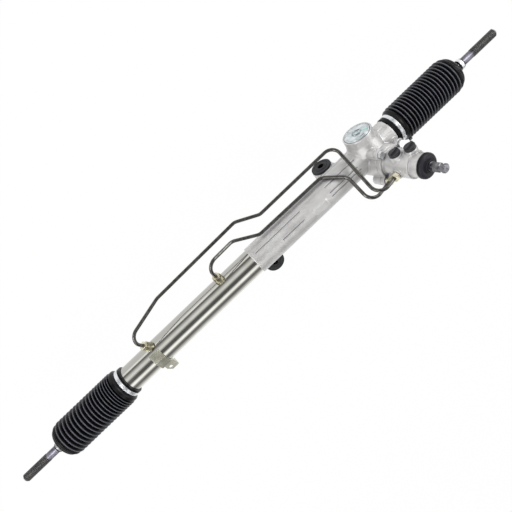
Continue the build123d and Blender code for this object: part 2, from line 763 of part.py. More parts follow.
def make_rack_housing():
    body = rod(-body_half, joint_x, sleeve_r)
    body = chamfer(body.edges().filter_by(GeomType.CIRCLE), stop_gap)
    body += post(tower, boss_bottom_t, flange_t - 1, pinion_boss_r)
    body += flange(flange_t - 2 * flange_thickness, flange_t)
    body += post(yoke_plane, 0, yoke_face_h, yoke_barrel_r)
    skirt = Cone(yoke_barrel_r + skirt_flare, yoke_barrel_r, skirt_height,
                 align=(Align.CENTER, Align.CENTER, Align.MIN))
    body += yoke_plane * Pos(0, 0, skirt_start) * skirt
    body += bush_eye(pinion_eye)
    body += bush_eye(centre_eye)
    body += Pos(pad_x, 0, sleeve_r - pad_width / 4) * Box(pad_length, pad_width, pad_width / 2 + 1)
    body -= ring(-body_half, -body_half + boot_seat_length, sleeve_r + stop_gap, boot_seat_r)
    body -= [sleeve_groove(*place) for place in groove_places]
    body -= rod(-body_half - 1, joint_x + 1, tunnel_r)
    body -= rod(joint_x - tube_seat, joint_x + 1, tube_r + seat_gap)
    body -= post(tower, boss_bottom_t - 1, lower_bearing_t - stop_gap + seat_gap,
                 needle_bearing_r + stop_gap + seat_gap)
    body -= post(tower, boss_bottom_t - 1, lower_bearing_t + needle_bearing_width,
                 needle_bearing_r + seat_gap)
    body -= post(tower, boss_bottom_t, flange_t, pitch_r + pinion_addendum + stop_gap)
    body -= post(tower, upper_bearing_t, flange_t + 1, ball_bearing_r + seat_gap)
    body -= post(yoke_plane, 0, yoke_face_h + 1, yoke_r + seat_gap)
    body -= post(yoke_plane, yoke_plug_start, yoke_face_h + 1, yoke_plug_r + seat_gap)
    body -= flange_holes(flange_t - flange_bolt_depth, flange_t + 1, flange_bolt_d / 2 + seat_gap)
    for eye in (pinion_eye, centre_eye):
        body -= post(eye, -bush_length, bush_length, bush_body_r + seat_gap)
        face = bush_length / 2 - bush_flange_t
        for low in (face, -bush_length):
            body -= post(eye, low, low + bush_length - face, bush_flange_r + seat_gap)
    return body


def make_valve_housing():
    body = flange(flange_t, flange_t + flange_thickness)
    body += post(tower, flange_t, valve_shoulder_t, valve_body_r)
    body += post(tower, valve_shoulder_t, cover_skirt_t, valve_neck_r)
    body += post(tower, cover_skirt_t, valve_top_t, cover_seat_r)
    body += post(tower, upper_bearing_t + ball_bearing_width + seat_gap, flange_t, ball_bearing_r)
    for plane, radius in valve_ports:
        body += post(plane, 0, port_face, radius)
    body -= post(tower, flange_t, valve_start_t + sleeve_valve_length + 2, valve_bore_r)
    body -= post(tower, flange_t - 1, valve_top_t, input_journal_r + stop_gap)
    body -= post(tower, valve_shoulder_t - stop_gap, valve_top_t + 1, input_bearing_r + seat_gap)
    body -= post(tower, 0, flange_t + 1, pinion_head_r + stop_gap)
    body -= post(tower, pinion_seal_t, flange_t + 1, pinion_seal_r + seat_gap)
    body -= hollow(tower, valve_top_t - snap_ring_set_back - seat_gap,
                   valve_top_t - snap_ring_set_back + stop_gap + seat_gap,
                   input_bearing_r + stop_gap + seat_gap, input_bearing_r)
    for plane, radius in valve_ports:
        body -= post(plane, valve_bore_r - 2, port_face + 1, port_thread_r + seat_gap)
    body -= flange_holes(flange_t - 1, flange_t + flange_thickness + 1, flange_bolt_d / 2 + seat_gap)
    return body


def make_flange_bolts():
    shank = Pos(flange_ear_radius, 0, flange_t - flange_bolt_depth + stop_gap) * Cylinder(
        flange_bolt_d / 2, flange_bolt_depth + flange_thickness - stop_gap,
        align=(Align.CENTER, Align.CENTER, Align.MIN))
    hexagon_face = RegularPolygon(flange_bolt_flats / 2, 6, major_radius=False)
    head = Pos(flange_ear_radius, 0, flange_t + flange_thickness) * extrude(
        hexagon_face, flange_bolt_head)
    return Part() + [tower * Rot(0, 0, angle) * (shank + head) for angle in flange_ear_angles]


def make_tube():
    return ring(joint_x - tube_seat, body_half, tube_r, bore_r)


def make_seal_carrier():
    """Inner end of the cylinder, staked in the tube, with the rod seal in its bore."""
    half = seal_carrier_width / 2
    carrier = ring(rod_seal_x - half, rod_seal_x + half, bore_r - seat_gap, tunnel_r)
    groove_half = rod_seal_width / 2 + seat_gap
    return carrier - ring(rod_seal_x - groove_half, rod_seal_x + groove_half,
                          rod_seal_r + seat_gap, rack_r)


def make_rod_seal(x):
    half = rod_seal_width / 2
    return ring(x - half, x + half, rod_seal_r, rack_r + fit_gap)


def make_end_stop():
    start = body_half - end_stop_length
    stop = ring(start, body_half - end_stop_set_back, bore_r - seat_gap, rack_r + run_gap)
    half = rod_seal_width / 2 + seat_gap
    seal_x = start + end_seal_set_back
    return stop - ring(seal_x - half, seal_x + half, rod_seal_r + seat_gap, rack_r)


# ---- rack guide ----
def make_yoke():
    body = post(yoke_plane, yoke_start, yoke_back, yoke_r)
    body -= rod(-body_half, body_half, rack_r + fit_gap + liner_t + seat_gap)
    return body - post(yoke_plane, yoke_back - spring_pocket, yoke_back + 1, spring_r + 3)


def make_yoke_liner():
    shell = ring(pinion_x - yoke_r, pinion_x + yoke_r, rack_r + fit_gap + liner_t, rack_r + fit_gap)
    shell &= post(yoke_plane, yoke_start, yoke_back, yoke_r - stop_gap)
    return shell


def make_yoke_spring():
    start = yoke_back - spring_pocket + spring_wire_r
    height = yoke_plug_start - start - spring_wire_r
    path = Helix(pitch=height / spring_turns, height=height, radius=spring_r)
    section = Plane(path @ 0, z_dir=path % 0) * Circle(spring_wire_r)
    return yoke_plane * Pos(0, 0, start) * sweep(section, path=path, is_frenet=True)


def make_yoke_plug():
    body = post(yoke_plane, yoke_plug_start, yoke_face_h + plug_proud, yoke_plug_r)
    body -= hollow(yoke_plane, yoke_face_h - stop_gap, yoke_face_h + 2, plug_dish_r,
                   plug_dish_r - plug_dish_width)
    profile = RegularPolygon(plug_hex_flats / 2, 6, major_radius=False)
    cutter = extrude(profile, plug_hex_depth + plug_proud + 1)
    return body - yoke_plane * Pos(0, 0, yoke_face_h - plug_hex_depth) * cutter


# ---- mounting bushes ----
def make_bush_rubber(plane):
    half = bush_length / 2
    rubber = hollow(plane, -half, half, bush_body_r, bush_sleeve_r + seat_gap)
    for side in (-1, 1):
        low = min(side * half, side * (half - bush_flange_t))
        rubber += hollow(plane, low, low + bush_flange_t, bush_flange_r, bush_sleeve_r + seat_gap)
    return rubber


def make_bush_sleeve(plane):
    half = bush_length / 2 + bush_sleeve_proud
    return hollow(plane, -half, half, bush_sleeve_r, bush_bolt_r)


# ---- boots ----
def boot_profile():
    """(radius, distance from centre) points of a bellows with V folds."""
    band = (clamp_x - clamp_width / 2, clamp_x + clamp_width / 2)
    outside = [(boot_seat_r + seat_gap, boot_lip_x), (boot_core_r, boot_lip_x),
               (boot_core_r, band[0] - boot_cuff_step), (boot_cuff_r, band[0]),
               (boot_cuff_r, band[1]), (boot_core_r + boot_cuff_wall, clamp_x + clamp_width),
               (boot_core_r + boot_shoulder, boot_fold_start - boot_shoulder_length),
               (boot_core_r, boot_fold_start)]
    pitch = boot_bellows_length / boot_folds
    for fold in range(boot_folds):
        start = boot_fold_start + fold * pitch
        crest = boot_r if fold < boot_folds - 1 else boot_r - boot_last_fold_drop
        outside += [(crest, start + pitch / 2), (boot_core_r, start + pitch)]
    outside += [(boot_r - drop, boot_end_x - back)
                for drop, back in zip(boot_dome_drops, boot_dome_backs)]
    outside += [(boot_neck_r, boot_end_x), (boot_neck_r, boot_neck_x)]
    bore = shank_r + run_gap
    inside = [(bore, boot_neck_x), (bore, boot_end_x - boot_wall),
              (boot_r - boot_dome_drops[1] - boot_wall / 2, boot_end_x - boot_dome_backs[1] - boot_wall),
              (boot_core_r - boot_wall, boot_fold_end - boot_wall),
              (boot_core_r - boot_wall, body_half + boot_wall), (boot_seat_r + seat_gap, body_half)]
    return outside + inside


def make_boot(end):
    plane = x_plane if end > 0 else mirror_plane
    boot = spun(boot_profile(), plane)
    if end < 0:
        tilt = Plane(origin=(-nipple_x, 0, 0), x_dir=(1, 0, 0), z_dir=nipple_out)
        boot += post(tilt, boot_core_r, boot_core_r + nipple_reach, nipple_r)
    return boot


def make_boot_clamp(end):
    plane = x_plane if end > 0 else mirror_plane
    low = clamp_x - clamp_width / 2
    inner = boot_cuff_r + seat_gap
    band = hollow(plane, low, low + clamp_width, inner + clamp_thickness, inner)
    ear = Pos(0, -(inner + clamp_ear_height / 2 + clamp_thickness / 2), low + clamp_width / 2) * Box(
        clamp_ear_width, clamp_ear_height, clamp_width)
    ear -= Pos(0, -(inner + clamp_ear_height / 2), low) * Box(
        clamp_ear_width - 2 * clamp_thickness, clamp_ear_height - 2 * clamp_thickness, 4 * clamp_width)
    return band + plane * Rot(0, 0, clamp_ear_turn) * ear


def make_boot_clip(end):
    plane = x_plane if end > 0 else mirror_plane
    inner = boot_neck_r + seat_gap
    band = hollow(plane, clip_x, clip_x + clip_width, inner + clip_thickness, inner)
    for side in (-1, 1):
        tang = Pos(side * clip_thickness * 2, -(inner + clip_tang / 2), clip_x + clip_width / 2)
        band += plane * tang * Box(clip_thickness, clip_tang, clip_width * 0.7)
    return band


# ---- hydraulics ----
def make_tube_port(port):
    """Turned boss with its weld bead, fitted to the tube's skin."""
    boss = post(port, -2 * weld_width, port_boss_height, port_boss_r)
    bead = Cone(port_boss_r + weld_width, port_boss_r, 2 * weld_width,
                align=(Align.CENTER, Align.CENTER, Align.MIN))
    boss += port * Pos(0, 0, -weld_width / 2) * bead
    boss -= rod(port.origin.X - 2 * port_boss_r, port.origin.X + 2 * port_boss_r, tube_r + fit_gap)
    return boss - post(port, port_boss_height - port_depth, port_boss_height + 1, port_bore_r)


def make_pipe(points):
    """A steel line of straight runs and bends."""
    path = FilletPolyline(*points, radius=pipe_bend_r)
    section = Plane(path @ 0, z_dir=path % 0) * Circle(pipe_r)
    line = sweep(section, path=path)
    return line


def make_flare_nuts():
    nuts = Part()
    hole = pipe_r + fit_gap
    for port in (outer_port, inner_port):
        low = port_boss_height + seat_gap
        nuts += hexagon(port, low, low + tube_nut_length, flare_nut_flats, hole)
    for plane, _ in valve_ports[2:]:
        low = port_face + seat_gap
        nuts += hexagon(plane, low, low + valve_nut_length, flare_nut_flats, hole)
    return nuts


def make_port_plug(plane):
    """Slotted plastic knob that keeps dirt out of an open port."""
    knob = post(plane, port_face + seat_gap, port_face + plug_knob_height, plug_knob_r)
    grip = Pos(0, 0, port_face + plug_knob_height) * Box(
        2 * plug_knob_r - 2, plug_grip_width, 2 * plug_grip_height)
    stem = post(plane, port_face - plug_stem, port_face + 1, port_thread_r)
    return knob + stem + plane * grip


def bracket_corners(radius, low_z):
    """(Y, Z) corners of a strap whose flat faces touch a circle, down to a height."""
    turns = [math.radians(turn) for turn in bracket_face_turns]
    first, last = turns[0], turns[-1]
    corners = [(radius * math.cos(first) - bracket_first_face * math.sin(first),
                radius * math.sin(first) + bracket_first_face * math.cos(first))]
    for before, after in zip(turns, turns[1:]):
        middle = (before + after) / 2
        reach = radius / math.cos((before - after) / 2)
        corners.append((reach * math.cos(middle), reach * math.sin(middle)))
    drop = (radius * math.sin(last) - low_z) / math.cos(last)
    corners.append((radius * math.cos(last) + drop * math.sin(last), low_z))
    return corners


def make_tube_bracket():
    """Strap folded over the tube, with a drilled tail and a side lip behind it."""
    half = bracket_width / 2
    inner = tube_r + fit_gap
    under = bracket_tail_z - bracket_t / 2
    section = bracket_corners(inner, under) + bracket_corners(inner + bracket_t, under)[::-1]
    strap = Pos(bracket_x - half, 0, 0) * (
        x_plane * extrude(make_face(Polyline(*section, close=True)), bracket_width))
    low, high = bracket_tail_y
    tail = Polyline((-half, low), (half, low), (half, high - bracket_corner),
                    (half - bracket_corner * bracket_corner_share, high), (-half, high), close=True)
    tail_block = extrude(make_face(tail), bracket_t / 2, both=True)
    strap += Pos(bracket_x, 0, bracket_tail_z) * tail_block
    lip = Polyline((low + bracket_t, 0), (high, 0), (low + bracket_lip, -bracket_lip), close=True)
    lip_block = x_plane * extrude(make_face(lip), bracket_t)
    strap += Pos(bracket_x - half, 0, bracket_tail_z) * lip_block
    hole = Pos(bracket_x + bracket_hole_side, bracket_hole_y, bracket_tail_z) * Cylinder(
        bracket_hole_r, 4 * bracket_t)
    return strap - hole


def main():
    os.makedirs("parts", exist_ok=True)
    write("rack_housing", make_rack_housing())
    write("valve_housing", make_valve_housing())
    write("flange_bolts", make_flange_bolts())
    write("cylinder_tube", make_tube())
    write("tube_bracket", make_tube_bracket())
    write("seal_carrier", make_seal_carrier())
    write("inner_rod_seal", make_rod_seal(rod_seal_x))
    write("cylinder_end_stop", make_end_stop())
    write("outer_rod_seal", make_rod_seal(body_half - end_stop_length + end_seal_set_back))
    write("outer_tube_port", make_tube_port(outer_port))
    write("inner_tube_port", make_tube_port(inner_port))
    write("outer_fluid_line", make_pipe(outer_line_points))
    write("inner_fluid_line", make_pipe(inner_line_points))
    write("flare_nuts", make_flare_nuts())
    write("upper_port_plug", make_port_plug(valve_ports[1][0]))
    write("lower_port_plug", make_port_plug(valve_ports[0][0]))
    write("pinion_ball_bearing", make_ball_bearing())
    write("pinion_needle_bearing", make_lower_bearing())
    write("pinion_bore_cap", make_lower_cap())
    write("pinion_seal", make_pinion_seal())
    write("input_bearing", make_input_bearing())
    write("input_seal", make_input_seal())
    write("input_snap_ring", make_snap_ring())
    write("dust_cover", make_dust_cover())
    write("rack_guide", make_yoke())
    write("rack_guide_liner", make_yoke_liner())
    write("rack_guide_spring", make_yoke_spring())
    write("rack_guide_plug", make_yoke_plug())
    for name, plane in (("pinion", pinion_eye), ("centre", centre_eye)):
        write(f"{name}_bush_rubber", make_bush_rubber(plane))
        write(f"{name}_bush_sleeve", make_bush_sleeve(plane))
    write("rack_bar", make_rack_bar())
    write("piston", make_piston())
    write("piston_ring", make_piston_ring())
    write("pinion_shaft", make_pinion_shaft())
    write("valve_sleeve", make_valve_sleeve())
    write("valve_seal_rings", make_seal_rings())
    write("torsion_bar", make_torsion_bar())
    write("input_shaft", make_input_shaft())
    write("torsion_pin", make_torsion_pin())
    for name, end in (("cylinder_side", 1), ("pinion_side", -1)):
        write(f"{name}_boot", make_boot(end))
        write(f"{name}_boot_clamp", make_boot_clamp(end))
        write(f"{name}_boot_clip", make_boot_clip(end))
        write(f"{name}_claw_washer", make_washer(end))
        write(f"{name}_ball_housing", make_ball_housing(end))
        write(f"{name}_ball_seat", make_ball_seat(end))
        write(f"{name}_tie_rod", make_tie_rod(end))


main()
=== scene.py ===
import math

import bmesh
import bpy
from mathutils import Matrix, Vector


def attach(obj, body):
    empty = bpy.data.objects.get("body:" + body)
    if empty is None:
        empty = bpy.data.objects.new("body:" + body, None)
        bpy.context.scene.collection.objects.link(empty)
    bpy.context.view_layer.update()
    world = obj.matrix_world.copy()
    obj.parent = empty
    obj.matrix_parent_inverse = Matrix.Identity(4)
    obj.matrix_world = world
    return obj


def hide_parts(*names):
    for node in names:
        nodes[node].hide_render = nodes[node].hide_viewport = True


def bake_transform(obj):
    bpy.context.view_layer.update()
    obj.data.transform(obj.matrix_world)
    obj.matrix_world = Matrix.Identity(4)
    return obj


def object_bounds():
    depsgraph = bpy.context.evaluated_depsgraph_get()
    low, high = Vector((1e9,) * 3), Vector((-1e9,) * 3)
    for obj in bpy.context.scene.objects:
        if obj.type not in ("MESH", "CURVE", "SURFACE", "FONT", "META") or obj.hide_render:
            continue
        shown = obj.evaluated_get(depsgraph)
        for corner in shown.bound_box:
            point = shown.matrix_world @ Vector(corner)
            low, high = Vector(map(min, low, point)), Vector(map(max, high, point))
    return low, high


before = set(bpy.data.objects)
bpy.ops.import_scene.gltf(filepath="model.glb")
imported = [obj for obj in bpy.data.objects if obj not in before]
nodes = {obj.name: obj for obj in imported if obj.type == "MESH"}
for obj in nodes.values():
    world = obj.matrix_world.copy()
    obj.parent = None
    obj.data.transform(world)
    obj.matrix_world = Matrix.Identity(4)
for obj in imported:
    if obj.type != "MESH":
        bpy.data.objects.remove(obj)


def plainBox(box):
    return [[float(value) for value in corner] for corner in box]


cadBox = plainBox(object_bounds())
print("frame loaded, box", cadBox)
mm = 0.001

# where the rack's axis and its tower are, in metres
gear = {
    "centreX": 0.198,
    "axisZ": 0.045,
    "towerX": -0.272,        # from the rack's centre
    "towerLean": 12.0,       # degrees
    "towerY": 0.016528,
}
rackCentre = Vector((gear["centreX"], 0, gear["axisZ"]))
leanTurn = math.radians(gear["towerLean"])
towerUp = Vector((-math.sin(leanTurn), 0, math.cos(leanTurn)))
towerIn = Vector((math.cos(leanTurn), 0, math.sin(leanTurn)))


def axesMatrix(origin, xAxis, zAxis):
    x = Vector(xAxis).normalized()
    z = Vector(zAxis).normalized()
    y = z.cross(x)
    rot = Matrix((x, y, z)).transposed().to_4x4()
    return Matrix.Translation(origin) @ rot


def alongRack(end):
    # local +Z runs outwards along the rack from its centre
    return axesMatrix(rackCentre, (0, 1, 0) if end > 0 else (0, -1, 0), (end, 0, 0))


towerPlace = axesMatrix(rackCentre + Vector((gear["towerX"], gear["towerY"], 0)), towerIn, towerUp)


# ---------- materials ----------
def toLinear(code):
    parts = [int(code[i:i + 2], 16) / 255 for i in (1, 3, 5)]
    line = [c / 12.92 if c <= 0.04045 else ((c + 0.055) / 1.055) ** 2.4 for c in parts]
    return (*line, 1.0)


def addNode(tree, kind, inputs=None, **settings):
    node = tree.nodes.new(kind)
    for key, value in settings.items():
        setattr(node, key, value)
    for key, value in (inputs or {}).items():
        if isinstance(value, bpy.types.NodeSocket):
            tree.links.new(value, node.inputs[key])
        else:
            node.inputs[key].default_value = value
    return node


def addMath(tree, operation, *values):
    return addNode(tree, "ShaderNodeMath", dict(enumerate(values)), operation=operation).outputs[0]


def addFade(tree, value, start, full):
    # 0 at the start, 1 at the full value, smooth between
    return addNode(tree, "ShaderNodeMapRange", {"Value": value, "From Min": start, "From Max": full},
                   interpolation_type="SMOOTHSTEP").outputs[0]


def mixColours(tree, share, under, over):
    return addNode(tree, "ShaderNodeMix", {"Factor": share, 6: under, 7: over}, data_type="RGBA").outputs[2]


def startMaterial(name, **sockets):
    mat = bpy.data.materials.new(name)
    mat.use_nodes = True
    shader = mat.node_tree.nodes["Principled BSDF"]
    for key, value in sockets.items():
        shader.inputs[key.replace("_", " ")].default_value = value
    coords = addNode(mat.node_tree, "ShaderNodeTexCoord")
    return mat, mat.node_tree, shader, coords.outputs["Object"]


def addRamp(tree, factor, stops):
    ramp = addNode(tree, "ShaderNodeValToRGB", {"Fac": factor})
    while len(ramp.color_ramp.elements) < len(stops):
        ramp.color_ramp.elements.new(0.5)
    for element, (place, code) in zip(ramp.color_ramp.elements, stops):
        element.position = place
        element.color = toLinear(code)
    return ramp.outputs["Color"]


def varyRoughness(tree, shader, cloud, low, high):
    # the cloud runs mostly from 0.3 to 0.7
    rough = addNode(tree, "ShaderNodeMapRange", {"Value": cloud.outputs["Fac"], "From Min": 0.3,
                                                 "From Max": 0.7, "To Min": low, "To Max": high})
    tree.links.new(rough.outputs[0], shader.inputs["Roughness"])


def addRelief(tree, shader, noise, strength, distance):
    relief = addNode(tree, "ShaderNodeBump", {"Height": noise.outputs["Fac"], "Strength": strength,
                                              "Distance": distance})
    tree.links.new(relief.outputs[0], shader.inputs["Normal"])


# the sleeve's long cast recesses, where shade is painted along their floors: start and end from the rack's
# centre, angle above -Y
recess = {"sleeveR": 27.5, "depth": 2.2, "half": 0.75,
          "runs": ((5, -104, 38), (-47, -101, 74), (-164, -236, 38), (-164, -232, 68), (-164, -236, 84),
                   (-20, -104, -20), (-164, -236, -10))}


def recessMask(tree, place):
    # 1 along the floors of the recesses, where shade is painted
    axes = addNode(tree, "ShaderNodeSeparateXYZ", {0: place})
    rise = addMath(tree, "SUBTRACT", axes.outputs["Z"], gear["axisZ"])
    turn = addMath(tree, "ARCTAN2", rise, axes.outputs["Y"])
    across = addNode(tree, "ShaderNodeCombineXYZ", {0: axes.outputs["Y"], 1: rise})
    away = addNode(tree, "ShaderNodeVectorMath", {0: across.outputs[0]}, operation="LENGTH")
    inAnyRun = 0.0
    for start, end, angle in recess["runs"]:
        middle = gear["centreX"] + (start + end) / 2 * mm
        side = math.copysign(math.pi, angle) - math.radians(angle)
        inLength = addMath(tree, "COMPARE", axes.outputs["X"], middle, (start - end) / 2 * mm)
        inWidth = addMath(tree, "COMPARE", turn, side, recess["half"] / recess["sleeveR"])
        inAnyRun = addMath(tree, "MAXIMUM", inAnyRun, addMath(tree, "MULTIPLY", inLength, inWidth))
    nearSleeve = addMath(tree, "COMPARE", away.outputs["Value"], recess["sleeveR"] * mm, recess["depth"] * mm)
    return addMath(tree, "MULTIPLY", inAnyRun, nearSleeve)


def makeCastAluminium():
    # die-cast aluminium, shot-blasted: pale satin skin, faint flow mottling, fine grit, and painted shade
    # along its recesses and in its corners
    look = {"pale": "#DAD9D8", "dull": "#C2C1C0", "grime": "#88878A", "corner": "#77767B",
            "reach": 7.0, "open": 0.92, "shut": 0.35, "mottle": 38.0, "grit": 900.0, "stain": 11.0}
    mat, tree, shader, place = startMaterial("dieCastAluminium", Metallic=0.7, Roughness=0.46)
    mottle = addNode(tree, "ShaderNodeTexNoise", {"Vector": place, "Scale": look["mottle"],
                                                  "Detail": 6.0, "Roughness": 0.6})
    stain = addNode(tree, "ShaderNodeTexNoise", {"Vector": place, "Scale": look["stain"],
                                                 "Detail": 3.0})
    both = addMath(tree, "MULTIPLY", mottle.outputs["Fac"], stain.outputs["Fac"])
    skin = addRamp(tree, both, [(0.10, look["dull"]), (0.34, look["pale"])])
    # painted shade: a darker grey along the recess floors
    recessShaded = mixColours(tree, recessMask(tree, place), skin, toLinear(look["grime"]))
    # corners that the shot blast reached less stay darker
    # painted shade: corners and crevices, as an ambient-occlusion node finds them, are painted darker
    occlusion = addNode(tree, "ShaderNodeAmbientOcclusion", {"Distance": look["reach"] * mm}, samples=6)
    hidden = addNode(tree, "ShaderNodeMapRange", {"Value": occlusion.outputs["AO"], "From Min": look["open"],
                                                  "From Max": look["shut"]})
    cornerShaded = mixColours(tree, hidden.outputs[0], recessShaded, toLinear(look["corner"]))
    tree.links.new(cornerShaded, shader.inputs["Base Color"])
    varyRoughness(tree, shader, mottle, 0.40, 0.54)
    grit = addNode(tree, "ShaderNodeTexNoise", {"Vector": place, "Scale": look["grit"], "Detail": 2.0})
    addRelief(tree, shader, grit, 0.25, 0.0004)
    return mat


def makeBrightSteel():
    # bright plate on drawn tube: near-mirror with faint lines along the tube, and a painted dark reflection:
    # a greyer band down one side, between angles in degrees from straight up towards +Y
    look = {"tint": "#E2E1DA", "shade": "#CFCDC4", "lines": 1400.0, "thin": "#B7B6B1",
            "darkBandFrom": -68.0, "darkBandFull": -72.0, "darkBandEnds": -145.0, "darkBandGone": -170.0}
    mat, tree, shader, place = startMaterial("brightPlatedSteel", Metallic=1.0, Roughness=0.11)
    stretch = addNode(tree, "ShaderNodeMapping", {"Vector": place, "Scale": (0.02, 1.0, 1.0)})
    lines = addNode(tree, "ShaderNodeTexNoise", {"Vector": stretch.outputs[0],
                                                 "Scale": look["lines"], "Detail": 3.0})
    cloud = addNode(tree, "ShaderNodeTexNoise", {"Vector": place, "Scale": 24.0, "Detail": 4.0})
    colour = addRamp(tree, cloud.outputs["Fac"], [(0.3, look["shade"]), (0.62, look["tint"])])
    axes = addNode(tree, "ShaderNodeSeparateXYZ", {0: place})
    rise = addMath(tree, "SUBTRACT", axes.outputs["Z"], gear["axisZ"])
    turn = addMath(tree, "ARCTAN2", axes.outputs["Y"], rise)
    # painted reflection: the greyer band down one side stands in for a dark reflection
    near = addFade(tree, turn, math.radians(look["darkBandFrom"]), math.radians(look["darkBandFull"]))
    far = addFade(tree, turn, math.radians(look["darkBandGone"]), math.radians(look["darkBandEnds"]))
    plate = mixColours(tree, addMath(tree, "MULTIPLY", near, far), colour, toLinear(look["thin"]))
    tree.links.new(plate, shader.inputs["Base Color"])
    rough = addNode(tree, "ShaderNodeMapRange", {"Value": lines.outputs["Fac"], "To Min": 0.08,
                                                 "To Max": 0.16})
    tree.links.new(rough.outputs[0], shader.inputs["Roughness"])
    return mat


def makeMetal(name, light, dark, roughLow, roughHigh, scale):
    # plated or machined steel: two close tones in a fine cloud, roughness that varies with it
    mat, tree, shader, place = startMaterial(name, Metallic=1.0, Roughness=roughLow)
    cloud = addNode(tree, "ShaderNodeTexNoise", {"Vector": place, "Scale": scale, "Detail": 5.0,
                                                 "Roughness": 0.65})
    colour = addRamp(tree, cloud.outputs["Fac"], [(0.34, dark), (0.62, light)])
    tree.links.new(colour, shader.inputs["Base Color"])
    varyRoughness(tree, shader, cloud, roughLow, roughHigh)
    return mat


def makeRubber(name, tint, roughLow, roughHigh, bloom):
    # moulded black rubber: waxy skin whose bloom lightens it in patches
    mat, tree, shader, place = startMaterial(name, Metallic=0.0, Roughness=roughLow, IOR=1.52)
    cloud = addNode(tree, "ShaderNodeTexNoise", {"Vector": place, "Scale": 60.0, "Detail": 6.0})
    colour = addRamp(tree, cloud.outputs["Fac"], [(0.35, tint), (0.75, bloom)])
    tree.links.new(colour, shader.inputs["Base Color"])
    varyRoughness(tree, shader, cloud, roughLow, roughHigh)
    grain = addNode(tree, "ShaderNodeTexNoise", {"Vector": place, "Scale": 1500.0, "Detail": 1.0})
    addRelief(tree, shader, grain, 0.12, 0.0002)
    return mat


def makeBootRubber():
    # moulded rubber, blue-black and waxy, with a painted highlight: a pale band along the crest of each fold
    look = {"skin": "#060609", "cloud": "#0C0C12", "bloom": "#5D5F66", "crestHighlightFrom": 34.3, "crestHighlightTo": 35.2}
    mat, tree, shader, place = startMaterial("mouldedBootRubber", Metallic=0.0, Roughness=0.3, IOR=1.33)
    across = addNode(tree, "ShaderNodeMapping", {"Vector": place, "Location": (0, 0, -gear["axisZ"]),
                                                 "Scale": (0, 1, 1)})
    away = addNode(tree, "ShaderNodeVectorMath", {0: across.outputs[0]}, operation="LENGTH")
    # painted highlight: paler where the surface lies out at the crests' radius from the rack's axis
    crest = addFade(tree, away.outputs["Value"], look["crestHighlightFrom"] * mm, look["crestHighlightTo"] * mm)
    cloud = addNode(tree, "ShaderNodeTexNoise", {"Vector": place, "Scale": 55.0, "Detail": 5.0})
    skin = addRamp(tree, cloud.outputs["Fac"], [(0.35, look["skin"]), (0.7, look["cloud"])])
    tree.links.new(mixColours(tree, crest, skin, toLinear(look["bloom"])), shader.inputs["Base Color"])
    varyRoughness(tree, shader, cloud, 0.24, 0.36)
    return mat


def makeCoverRubber():
    # the dust cover's rubber: black skirt, and a painted highlight: the rolled shoulder painted a lighter
    # grey
    look = {"skirt": "#08070C", "roll": "#2C2B31", "highlightFrom": 121.5, "highlightTo": 126.0}
    mat, tree, shader, place = startMaterial("mouldedCoverRubber", Metallic=0.0, Roughness=0.42, IOR=1.28)
    local = addNode(tree, "ShaderNodeMapping", {"Vector": place, "Location": towerPlace.to_translation(),
                                                "Rotation": tuple(towerPlace.to_euler())},
                    vector_type="TEXTURE")
    axes = addNode(tree, "ShaderNodeSeparateXYZ", {0: local.outputs[0]})
    # painted highlight: lighter grey on the rolled shoulder, high up the tower's axis
    rise = addFade(tree, axes.outputs["Z"], look["highlightFrom"] * mm, look["highlightTo"] * mm)
    colour = mixColours(tree, rise, toLinear(look["skirt"]), toLinear(look["roll"]))
    tree.links.new(colour, shader.inputs["Base Color"])
    return mat


def patchMask(tree, place, centre, along, facing, halfLong, halfWide, softEdge=0.4):
    # 1 inside a rectangle that lies on a flat face, its sizes in mm about its own centre
    axis = Vector(facing).normalized()
    x = Vector(along).normalized()
    spin = Matrix((x, axis.cross(x), axis)).transposed().to_euler()
    local = addNode(tree, "ShaderNodeMapping", {"Vector": place, "Location": tuple(centre),
                                                "Rotation": tuple(spin)}, vector_type="TEXTURE")
    size = addNode(tree, "ShaderNodeVectorMath", {0: local.outputs[0]}, operation="ABSOLUTE")
    sides = addNode(tree, "ShaderNodeSeparateXYZ", {0: size.outputs[0]})
    masks = [addNode(tree, "ShaderNodeMapRange", {"Value": sides.outputs[key], "From Min": half * mm,
                                                  "From Max": (half - softEdge) * mm}).outputs[0]
             for key, half in (("X", halfLong), ("Y", halfWide))]
    return addMath(tree, "MULTIPLY", *masks)


